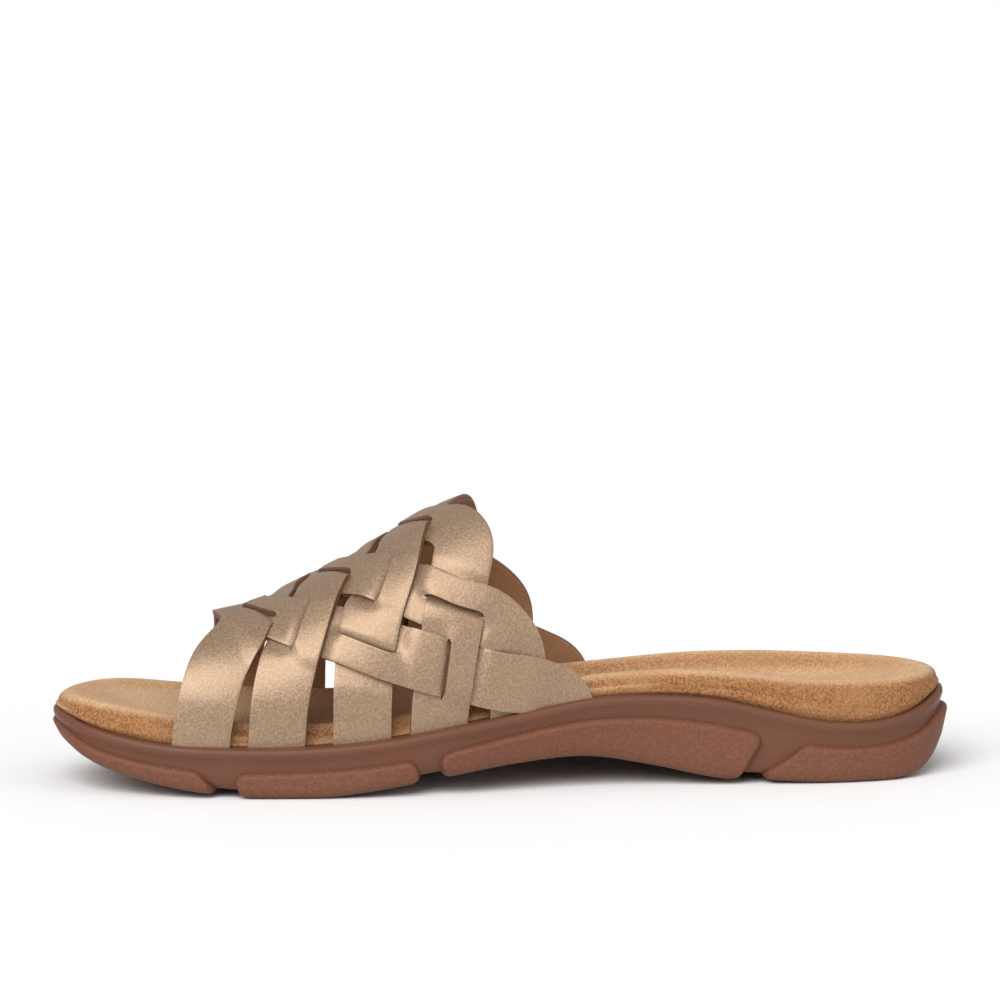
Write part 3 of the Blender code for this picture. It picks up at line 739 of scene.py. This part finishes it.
cutter = tread_cutter()
for block in blocks:
    cut = block.modifiers.new("tread grooves", "BOOLEAN")
    cut.operation = "DIFFERENCE"
    cut.solver = "EXACT"
    cut.object = cutter
    graph = bpy.context.evaluated_depsgraph_get()
    grooved = bpy.data.meshes.new_from_object(block.evaluated_get(graph))
    grooved.set_sharp_from_angle(angle=math.radians(55))
    block.modifiers.clear()
    block.data = grooved
    print(f"{block.name} with its grooves: {len(grooved.polygons)} faces")
bpy.data.objects.remove(cutter)

# %% [markdown]
# The footbed is a foam core wrapped in suede. Its wall swells a little over the rubber lip at the
# toe and the heel, leans in under the strips, turns over a soft rim and sinks into the basin. The
# wrapped suede isn't quite even: soft folds run along the wall where it bends round the heel, and
# the top has shallow dents. Each fold is one row of a table, in the shoe's own sizes.

# %% Section card, folds and dents of the footbed
# where a row is, then its inset and height there: shares on the wall, metres on the rim, and
# metres and a share of the basin's depth inside
RIM_ROWS = (
    ("hidden", 0.0, 0.0), ("wall", 0.0, 0.0), ("wall", 0.10, 0.6), ("wall", 0.22, 0.9),
    *(("wall", up, 1.0) for up in (0.34, 0.46, 0.58, 0.70, 0.82, 0.92, 1.0)),
    ("rim", 0.0002, 0.0022), ("rim", 0.0006, 0.0014), ("rim", 0.0012, 0.0008),
    ("rim", 0.0020, 0.0003), ("rim", 0.0030, 0.0), ("rim", 0.0042, 0.0), ("basin", 0.0052, 0.14),
    ("basin", 0.0063, 0.38), ("basin", 0.0075, 0.66), ("basin", 0.0089, 0.88),
    ("basin", 0.0106, 1.0),
)
TOP_ROWS = 28
FIBRE_GAP = 0.0003
RIM_HEIGHT = 0.0032
WALL_BULGE = 0.0005
HIDDEN_DEPTH = 0.0030
HIDDEN_INSET = 0.0006
WALL_ABOVE_LIP = 0.0002
TRODDEN_RIM = 0.12
NARROW_TIP = 0.050
# folds on the wall: side, share along, share of the wall's height, half length as a share of
# LENGTH, half width as a share of the wall's height, depth in metres
WALL_FOLDS = (
    (MEDIAL, 0.735, 0.72, 0.045, 0.10, 0.00090), (MEDIAL, 0.690, 0.45, 0.030, 0.12, 0.00050),
    (MEDIAL, 0.810, 0.55, 0.040, 0.12, 0.00055), (MEDIAL, 0.900, 0.40, 0.030, 0.14, 0.00045),
    (MEDIAL, 0.050, 0.55, 0.030, 0.14, 0.00030), (LATERAL, 0.760, 0.60, 0.050, 0.12, 0.00045),
    (LATERAL, 0.880, 0.45, 0.035, 0.12, 0.00035), (LATERAL, 0.100, 0.50, 0.035, 0.14, 0.00030),
)
# dents in the top: share along, share across from the medial edge, half sizes in metres, depth
TOP_DENTS = (
    (0.700, 0.35, 0.010, 0.005, 0.0007), (0.770, 0.60, 0.008, 0.004, 0.0006),
    (0.830, 0.45, 0.012, 0.006, 0.0006), (0.905, 0.30, 0.007, 0.004, 0.0006),
    (0.620, 0.55, 0.012, 0.005, 0.0005), (0.120, 0.40, 0.010, 0.006, 0.0005),
)


# %% Points of the footbed
def hollow(*distances):
    """A soft round trough: 1 at its middle, and nothing far away."""
    return math.exp(-sum(d * d for d in distances))


def footbed_point(station, side, row):
    """A point of the wall, rim or basin; the rim is lower where it leans in under the strips."""
    share = stations[station]
    where, first, second = RIM_ROWS[row]
    recess = card("recess", share) + FIBRE_GAP
    swell, lean = card("swell", share), card("lean", share)
    low, high = card(("lip", side), share) + WALL_ABOVE_LIP, card(("rim", side), share)
    high -= TRODDEN_RIM * lean / BALL_WIDTH
    if where == "hidden":
        return (*outline(share, side, recess + HIDDEN_INSET), low - HIDDEN_DEPTH)
    if where == "wall":
        inset = recess + lean * first - swell * second
        inset -= WALL_BULGE * math.sin(math.pi * first)
        for fold_side, along, up, length, width, depth in WALL_FOLDS:
            if fold_side == side:
                inset += depth * hollow((share - along) / length, (first - up) / width)
        return (*outline(share, side, inset), low + (high - RIM_HEIGHT - low) * first)
    inset = recess + lean - swell + first
    if where == "rim":
        return (*outline(share, side, inset), high - second)
    return (*outline(share, side, inset), high - card("rim basin", share) * second)


def footbed_top(station, row):
    """The middle of the top, where the foot treads; it sinks at the heel and swells a little behind
    the toes.
    """
    near = Vector(footbed_point(station, MEDIAL, len(RIM_ROWS) - 1))
    far = Vector(footbed_point(station, LATERAL, len(RIM_ROWS) - 1))
    share = stations[station]
    across = row / TOP_ROWS
    point = near.lerp(far, across)
    more = card("middle basin", share) - card("rim basin", share)
    more *= eased(((0.0, 0.0), (NARROW_TIP, 1.0)), (far - near).length)
    point.z -= more * math.sin(math.pi * across)
    for along, aside, length, width, depth in TOP_DENTS:
        away = (across - aside) * (far - near).length
        edge = min(across, 1 - across, 0.1) * 10
        point.z -= edge * depth * hollow((share - along) * LENGTH / length, away / width)
    return point


# %% Put the footbed together
def footbed():
    """The wall and rim as one ring, closed by the top where the foot treads and a sheet underneath.
    """
    shape = bmesh.new()
    rows = len(RIM_ROWS) - 1
    bent_sheet(shape, ROUND, rows, lambda c, r: footbed_point(*station_and_side(c), r))
    bent_sheet(shape, STATION_COUNT, TOP_ROWS, footbed_top)
    across_sheet(shape, STATION_COUNT, footbed_point, 0)
    return welded(shape)


insole = finished(footbed(), "suede_footbed", (suede,), replaced="footbed")

# how far a point faces up, from the first trace of pale nap to all of it
FACES_UP = (0.50, 0.95)
# painted shade: how much darker and more orange the top is made under the strips
PAINTED_SHADE_UNDER_STRIPS = 0.7


def top_tone_and_painted_shade(point):
    """1 where the suede faces up and is worn pale; lower under the strips, as painted shade."""
    share = point.co.x / LENGTH + 0.5
    # how deep under the strips this part of the top lies, for the painted shade
    strip_shade = min(card("lean", share) / max(CARD["lean"]), 1.0)
    flat = (point.normal.z - FACES_UP[0]) / (FACES_UP[1] - FACES_UP[0])
    return min(max(flat, 0.0), 1.0) * (1 - PAINTED_SHADE_UNDER_STRIPS * strip_shade ** 3)


# the tone of the top at each point, with painted shade under the strips
top_tone_with_painted_shade = [top_tone_and_painted_shade(point) for point in insole.data.vertices]
insole.data.attributes.new("top_tone_with_painted_shade", "FLOAT", "POINT").data.foreach_set("value", top_tone_with_painted_shade)

# %% [markdown]
# The strips lie over a last: one arched section per share along. A strip's place is given as a
# share along and a share of the girth, from -1 at the medial foot through 0 on the ridge to 1 at
# the lateral foot. Working in those two numbers keeps a strip on the foot's surface wherever it
# goes, as real strips are pulled tight over the last.

# %% The last
LAST_SPAN = (0.09, 0.64)
SHARE_STEP = 0.006
GIRTH_STEP = 0.02
LAST_GIRTH = 0.98
LINING_GAP = 0.0001


class Last:
    """The foot's form, as tables of one arched section for each share along."""

    def __init__(self, sections=120, steps=160):
        self.shares = np.linspace(*LAST_SPAN, sections)
        self.girths = np.linspace(-1, 1, steps + 1)
        self.angles = np.zeros((sections, len(self.girths)))
        self.arcs = np.zeros((sections, 2))
        angle = np.linspace(-math.pi / 2, math.pi / 2, 2 * steps + 1)
        for i, share in enumerate(self.shares):
            line = np.array([self.section(share, a) for a in angle])
            run = np.concatenate([[0], np.cumsum(np.hypot(*np.diff(line, axis=0).T))])
            ridge = run[steps]
            girth = np.where(run < ridge, run / ridge - 1, (run - ridge) / (run[-1] - ridge))
            self.angles[i] = np.interp(self.girths, girth, angle)
            self.arcs[i] = (ridge, run[-1] - ridge)

    def section(self, share, angle):
        """Across and up, at one share along and one angle round the arch."""
        out = math.copysign(abs(math.sin(angle)) ** (2 / ARCH_POWER), angle)
        rise = max(math.cos(angle), 0.0) ** (2 / ARCH_POWER)
        foot = card(("lip", MEDIAL if angle < 0 else LATERAL), share) - POCKET_DEPTH
        half = card("half", share) - card("recess", share) + LINING_GAP
        y = card("centre", share) + half * out - RIDGE_LEAN * BALL_WIDTH * rise ** 2
        return y, foot + (card("instep", share) - foot) * rise

    def at(self, share, girth):
        """The place in space of a share along and a share of the girth."""
        row = (share - self.shares[0]) / (self.shares[1] - self.shares[0])
        column = (min(max(girth, -1), 1) + 1) * (len(self.girths) - 1) / 2
        i = min(max(int(row), 0), len(self.shares) - 2)
        j = min(int(column), len(self.girths) - 2)
        a, b = row - i, column - j
        near = self.angles[i, j] * (1 - b) + self.angles[i, j + 1] * b
        far = self.angles[i + 1, j] * (1 - b) + self.angles[i + 1, j + 1] * b
        y, z = self.section(share, near * (1 - a) + far * a)
        z -= max(abs(girth) - 1, 0) * self.arcs[i, 0 if girth < 0 else 1]
        return np.array([LENGTH * (share - 0.5), y, z])

    def frame(self, share, girth):
        """How the place moves with the share and with the girth, and the way out."""
        girth = min(max(girth, -LAST_GIRTH), LAST_GIRTH)
        ahead, behind = self.at(share + SHARE_STEP, girth), self.at(share - SHARE_STEP, girth)
        over, under = self.at(share, girth + GIRTH_STEP), self.at(share, girth - GIRTH_STEP)
        along = (ahead - behind) / (2 * SHARE_STEP)
        around = (over - under) / (2 * GIRTH_STEP)
        normal = np.cross(along, around)
        return along, around, normal / np.linalg.norm(normal)

    def moved(self, share, girth, step):
        """The place one small step away along the surface."""
        u, v, _ = self.frame(share, girth)
        uu, uv, vv = u @ u, u @ v, v @ v
        su, sv = step @ u, step @ v
        det = uu * vv - uv * uv
        return share + (su * vv - sv * uv) / det, girth + (sv * uu - su * uv) / det


last = Last()
print("the last is", [round(float(v) * 1000, 1) for v in last.at(0.5, 0.0)], "mm at the throat")

# %% [markdown]
# Six strips make the weave. N strips start at the near, medial edge and F strips at the far,
# lateral edge. Each climbs over the ridge and runs down the other side further back.

# %% Paths of the strips
# share along and share of girth of each strip's middle line
PATHS = {
    "N1": (
        (0.165, -1.020), (0.168, -0.850), (0.175, -0.690), (0.187, -0.520), (0.211, -0.340),
        (0.238, -0.080), (0.266, 0.200), (0.309, 0.430), (0.362, 0.580), (0.431, 0.735),
        (0.499, 0.840), (0.546, 0.890), (0.574, 0.945), (0.585, 1.020),
    ),
    "N2": (
        (0.246, -1.020), (0.248, -0.900), (0.252, -0.730), (0.260, -0.590), (0.275, -0.430),
        (0.300, -0.210), (0.328, -0.010), (0.366, 0.230), (0.394, 0.370), (0.440, 0.510),
        (0.488, 0.600), (0.512, 0.690), (0.516, 0.830), (0.516, 1.020),
    ),
    "N3": (
        (0.340, -1.020), (0.340, -0.900), (0.341, -0.750), (0.345, -0.600), (0.355, -0.460),
        (0.378, -0.280), (0.407, -0.020), (0.438, 0.140), (0.452, 0.290), (0.449, 0.430),
        (0.443, 0.550), (0.437, 0.700), (0.431, 0.860), (0.429, 1.020),
    ),
    "F1": (
        (0.202, 1.020), (0.205, 0.850), (0.211, 0.690), (0.217, 0.520), (0.217, 0.330),
        (0.215, 0.130), (0.221, -0.050), (0.236, -0.190), (0.262, -0.320), (0.307, -0.460),
        (0.360, -0.595), (0.428, -0.738), (0.488, -0.832), (0.530, -0.882), (0.556, -0.938),
        (0.566, -1.020),
    ),
    "F2": (
        (0.280, 1.020), (0.281, 0.850), (0.283, 0.690), (0.285, 0.520), (0.289, 0.330),
        (0.298, 0.130), (0.313, -0.050), (0.335, -0.185), (0.362, -0.285), (0.392, -0.395),
        (0.437, -0.525), (0.484, -0.620), (0.506, -0.730), (0.509, -0.880), (0.509, -1.020),
    ),
    "F3": (
        (0.366, 1.020), (0.366, 0.850), (0.368, 0.690), (0.372, 0.520), (0.380, 0.330),
        (0.392, 0.120), (0.412, -0.060), (0.438, -0.170), (0.455, -0.300), (0.448, -0.430),
        (0.441, -0.550), (0.432, -0.700), (0.425, -0.860), (0.422, -1.020),
    ),
}
# passing strip, strip that it crosses, and how: 1 is over the first half and down through a slit,
# -1 is under the first half and up through it, 0 is over all of it with no slit
WEAVE = (
    ("N1", "F1", 1), ("N2", "F2", 1), ("N3", "F3", 1), ("F1", "N2", 1), ("N1", "F2", 1),
    ("F2", "N3", 1), ("N2", "F3", 1), ("N3", "F1", -1), ("F3", "N1", -1), ("F3", "F2", -1),
    ("N3", "N2", -1), ("F1", "F3", 1), ("N1", "N3", 1), ("F1", "F2", 0), ("N1", "N2", 0),
)

# %% [markdown]
# At each crossing one strip has a slit along its middle and the other passes through it. Over the
# first half it lies on top, and over the second half it is below. So the passing strip dips along
# its length, and the slit strip opens like a mouth, one half down and one half up.

# %% How a strip rises and dips
LIFT = 0.0009
# how far down a strip's far foot lies, by its number
FOOT_LIFT = {"1": -0.55, "2": -1.0, "3": -1.0}
FOOT_SPAN = (0.008, 0.018)
SLIT_SPARE = 0.0004
SLIT_WIDTH = 0.0009
SLIT_TAPER = 0.0015
LIP_TAPER = 0.0018
LIP_RISE = 0.20
LIFT_RANGE = (-1.15, 1.2)
HEADING_STEP = 0.0025
# where a passing strip lies flat over or under the other, and where it is level again, as shares
# of the crossing's reach; it dives through the slit between the two shares of DIVE
FLAT, LEVEL = 0.5, 0.8
DIVE = (-0.11, 0.04)


class Strip:
    """The middle line of a strip, and the crossings on it."""

    def __init__(self, name):
        self.name = name
        path = np.array(PATHS[name])
        chord = np.array([last.at(*place) for place in path])
        runs = np.concatenate([[0], np.cumsum(np.linalg.norm(np.diff(chord, axis=0), axis=1))])
        table = np.column_stack([runs, path])
        fine = np.linspace(0, runs[-1], 300)
        self.places = np.column_stack([through(table, 1, fine), through(table, 2, fine)])
        self.line = np.array([last.at(*place) for place in self.places])
        steps = np.linalg.norm(np.diff(self.line, axis=0), axis=1)
        self.run = np.concatenate([[0], np.cumsum(steps)])
        self.length = self.run[-1]
        self.passes = []
        self.slits = []

    def place(self, run):
        """Share along and share of the girth, at one distance along the strip."""
        return (
            float(np.interp(run, self.run, self.places[:, 0])),
            float(np.interp(run, self.run, self.places[:, 1])),
        )

    def heading(self, run):
        """Unit directions along and across the strip, at one distance along it."""
        ahead = last.at(*self.place(min(run + HEADING_STEP, self.length)))
        behind = last.at(*self.place(max(run - HEADING_STEP, 0)))
        _, _, out = last.frame(*self.place(run))
        along = ahead - behind
        along -= out * np.dot(along, out)
        along /= np.linalg.norm(along)
        return along, np.cross(out, along)

    def opening(self, run):
        """How far the slits are open here, from 0 to 1."""
        widest = 0.0
        for at, reach, way, _ in self.slits:
            if way:
                gap = abs(run - at)
                end = reach / 2 + SLIT_SPARE
                widest = max(widest, eased(((end - SLIT_TAPER, 1.0), (end, 0.0)), gap))
        return widest

    def lift(self, run, across, half):
        """Height of the strip from -1 under to 1 over; half is the side of the slit, -1 or 1."""
        total = 0.0
        aside = across * STRAP_WIDTH / 2
        for at, reach, way, skew in self.passes:
            a = (run - at + aside * skew) / reach
            start, stop = DIVE if way > 0 else (-DIVE[1], -DIVE[0])
            dive = ((start, way), (stop, -way)) if way else ()
            first, second = (way, -way) if way else (1, 1)
            knots = ((-LEVEL, 0), (-FLAT, first), *dive, (FLAT, second), (LEVEL, 0))
            total += eased(knots, a)
        for at, reach, way, skew in self.slits:
            gap = abs(run - at + aside * skew)
            amount = eased(((FLAT, 1), (LEVEL, 0)), gap / reach)
            if way:
                end = reach / 2 + SLIT_SPARE
                open_here = eased(((end - LIP_TAPER, 1.0), (end, 0.0)), gap)
                closed = eased(((-0.4, -1), (0.4, 1)), across)
                lip = half * (1.0 + LIP_RISE * max(0.0, 1 - abs(across) * 3))
                total += amount * way * (open_here * lip + (1 - open_here) * closed)
            else:
                total -= amount
        total = min(max(total, LIFT_RANGE[0]), LIFT_RANGE[1])
        foot = eased(((FOOT_SPAN[0], 1), (FOOT_SPAN[1], 0)), min(run, self.length - run))
        level = FOOT_LIFT[self.name[1]] if run > self.length / 2 else -1.0
        return total * (1 - foot) + level * foot


# %% Find where the strips cross
LEAST_FACING = 0.4

strips = {name: Strip(name) for name in PATHS}
for over, under, way in WEAVE:
    one, two = strips[over], strips[under]
    gap = np.linalg.norm(one.line[:, None] - two.line[None, :], axis=2)
    i, j = np.unravel_index(int(np.argmin(gap)), gap.shape)
    along, aside = one.heading(one.run[i])
    slit, across = two.heading(two.run[j])
    facing = float(np.dot(along, across))
    reach = STRAP_WIDTH / max(abs(facing), LEAST_FACING)
    # a tab ends in line with the slit that it goes down, also where strips cross at a slant
    skew = float(np.dot(aside, across)) / facing
    slit_skew = float(np.dot(across, aside)) / float(np.dot(slit, aside))
    one.passes.append((one.run[i], reach, way, skew))
    two.slits.append((two.run[j], reach, way * (1 if facing > 0 else -1), slit_skew))
for strip in strips.values():
    print(f"strip {strip.name}: {strip.length * 1000:.0f} mm long, {len(strip.slits)} slits")

# %% [markdown]
# Each strip is two sheets glued together, the foiled leather over its lining, and the glue line
# between them is a fine gap on the cut edge. A sheet is a grid with one extra column in the
# middle, which has no width: along a slit its faces are deleted, and elsewhere it is welded shut.
# Solidify then gives the thickness and Bevel softens the cut edges.

# %% Sizes of a sheet
ALONG_STEP = 0.0010
HALF_COLUMNS = 8
GLUE_LINE = 0.00012
CROWN = 0.0002
SLIT_SEEN = 0.02
SLIT_WELD = 0.000002
EDGE_BEVEL = 0.00035


# %% A sheet with its slits
def strip_sheet(strip, height):
    """A sheet at one height above the strip's underside, with its slits cut."""
    rows = round(strip.length / ALONG_STEP)
    columns = 2 * HALF_COLUMNS + 1
    spots = {}
    for row in range(rows + 1):
        run = strip.length * row / rows
        start = strip.place(run)
        _, across = strip.heading(run)
        slit = SLIT_WIDTH / 2 * strip.opening(run)
        for half in (-1, 1):
            place = start
            for k in range(HALF_COLUMNS + 1):
                if k:
                    place = last.moved(*place, across * half * STRAP_WIDTH / 2 / HALF_COLUMNS)
                part = half * k / HALF_COLUMNS
                _, _, out = last.frame(*place)
                base = last.at(*place) + across * half * (slit if k == 0 else 0)
                lift = LIFT * (1 + strip.lift(run, part, half))
                crown = CROWN * (1 - part * part)
                column = HALF_COLUMNS - k if half < 0 else HALF_COLUMNS + 1 + k
                spots[column, row] = base + out * (lift + crown + height)
    shape = bmesh.new()
    grid = bmesh.ops.create_grid(shape, x_segments=columns, y_segments=rows, size=0.5)
    doomed = []
    for face in shape.faces:
        at = face.calc_center_median()
        column = math.floor((at.x + 0.5) * columns)
        run = (at.y + 0.5) * strip.length
        if column == HALF_COLUMNS and strip.opening(run) > SLIT_SEEN:
            doomed.append(face)
    for point in grid["verts"]:
        key = round((point.co.x + 0.5) * columns), round((point.co.y + 0.5) * rows)
        point.co = Vector(spots[key])
    bmesh.ops.delete(shape, geom=doomed, context="FACES_ONLY")
    bmesh.ops.remove_doubles(shape, verts=shape.verts, dist=SLIT_WELD)
    return shape


# %% Build the strips
def sheet_layer(strip, title, height, thickness, face_finish, edge_finish, replaced=None):
    """One sheet of a strip as an object, with its thickness and soft cut edges."""
    shape = strip_sheet(strip, height)
    shape.normal_update()
    if sum(face.normal.z * face.calc_area() for face in shape.faces) < 0:
        bmesh.ops.reverse_faces(shape, faces=shape.faces)
    name = f"strip_{strip.name}_{title}"
    piece = finished(shape, name, (face_finish, edge_finish), replaced=replaced)
    wall = piece.modifiers.new("thickness", "SOLIDIFY")
    wall.thickness = thickness
    wall.offset = 1.0
    wall.material_offset_rim = 1
    soft = piece.modifiers.new("soft edge", "BEVEL")
    soft.width = EDGE_BEVEL
    soft.material = 1
    soft.segments = 2
    soft.limit_method = "ANGLE"
    soft.angle_limit = math.radians(50)
    soft.profile = 0.5
    return piece


HALF_THICKNESS = STRAP_THICKNESS / 2
for name, strip in strips.items():
    sheet_layer(strip, "lining", 0.0, HALF_THICKNESS - GLUE_LINE, lining, cut_lining, "upper")
    sheet_layer(strip, "leather", HALF_THICKNESS, HALF_THICKNESS, foil, cut_foil, "upper")

# %% [markdown]
# The shoe stands on a plain pale floor in soft studio light. The key light comes from the
# camera's side, to the left and half way up, so the sides of the strips are bright and their
# ridge, which mirrors the dimmer room behind, turns brown. A weak second light and a pale room
# fill the shadows.

# %% Floor and light
floor_finish = Finish("studio floor", Roughness=0.9, Specular_IOR_Level=0.1)
floor_finish.shader.inputs["Base Color"].default_value = (0.90, 0.90, 0.90, 1.0)
floor_shape = bmesh.new()
bmesh.ops.create_grid(floor_shape, x_segments=1, y_segments=1, size=30.0)
floor = object_of(floor_shape, "floor")
floor.data.materials.append(floor_finish.material)

world = bpy.data.worlds.new("studio")
bpy.context.scene.world = world
world.use_nodes = True
world.node_tree.nodes["Background"].inputs["Color"].default_value = (1.0, 1.0, 1.0, 1.0)
world.node_tree.nodes["Background"].inputs["Strength"].default_value = 0.50


def direction(azimuth, elevation):
    """Towards a place round the shoe, in degrees from its medial side and up from the floor."""
    across, up = math.radians(azimuth), math.radians(elevation)
    return Vector((
        math.sin(across) * math.cos(up), -math.cos(across) * math.cos(up), math.sin(up)
    ))


def studio_sun(name, azimuth, elevation, strength, softness):
    """A very soft, even light from one side."""
    light = bpy.data.lights.new(name, "SUN")
    light.energy = strength
    light.angle = math.radians(softness)
    holder = bpy.data.objects.new(name, light)
    holder.location = direction(azimuth, elevation)
    holder.rotation_mode = "QUATERNION"
    holder.rotation_quaternion = holder.location.to_track_quat("Z", "Y")
    bpy.context.scene.collection.objects.link(holder)


studio_sun("key", -28.0, 42.0, 2.6, 50.0)
studio_sun("fill", 45.0, 30.0, 0.5, 70.0)
bpy.context.scene.view_settings.view_transform = "Standard"
bpy.context.scene.view_settings.exposure = 0.0

# %% [markdown]
# The camera stands where the photographer's did: about a metre and a half away with a long lens,
# a little above the shoe and turned four degrees towards the toe.

# %% Camera
AZIMUTH = -4.0
ELEVATION = 7.7
DISTANCE = 1.6
SENSOR = 36.0
PICTURE_WIDTH = 1000
PIXELS_PER_METRE = 3450
AIM = Vector((0.0, 0.0, 0.040))
AIM_BELOW_MIDDLE = 132

back = direction(AZIMUTH, ELEVATION)
turned = (-back).to_track_quat("-Z", "Y")
camera_data = bpy.data.cameras.new("camera")
camera_data.sensor_width = SENSOR
camera_data.lens = SENSOR * PIXELS_PER_METRE * DISTANCE / PICTURE_WIDTH
camera = bpy.data.objects.new("camera", camera_data)
camera.rotation_mode = "QUATERNION"
camera.rotation_quaternion = turned
up = turned @ Vector((0, 1, 0))
camera.location = AIM + back * DISTANCE + up * (AIM_BELOW_MIDDLE / PIXELS_PER_METRE)
bpy.context.scene.collection.objects.link(camera)
bpy.context.scene.camera = camera
print("camera at", [round(v, 3) for v in camera.location])
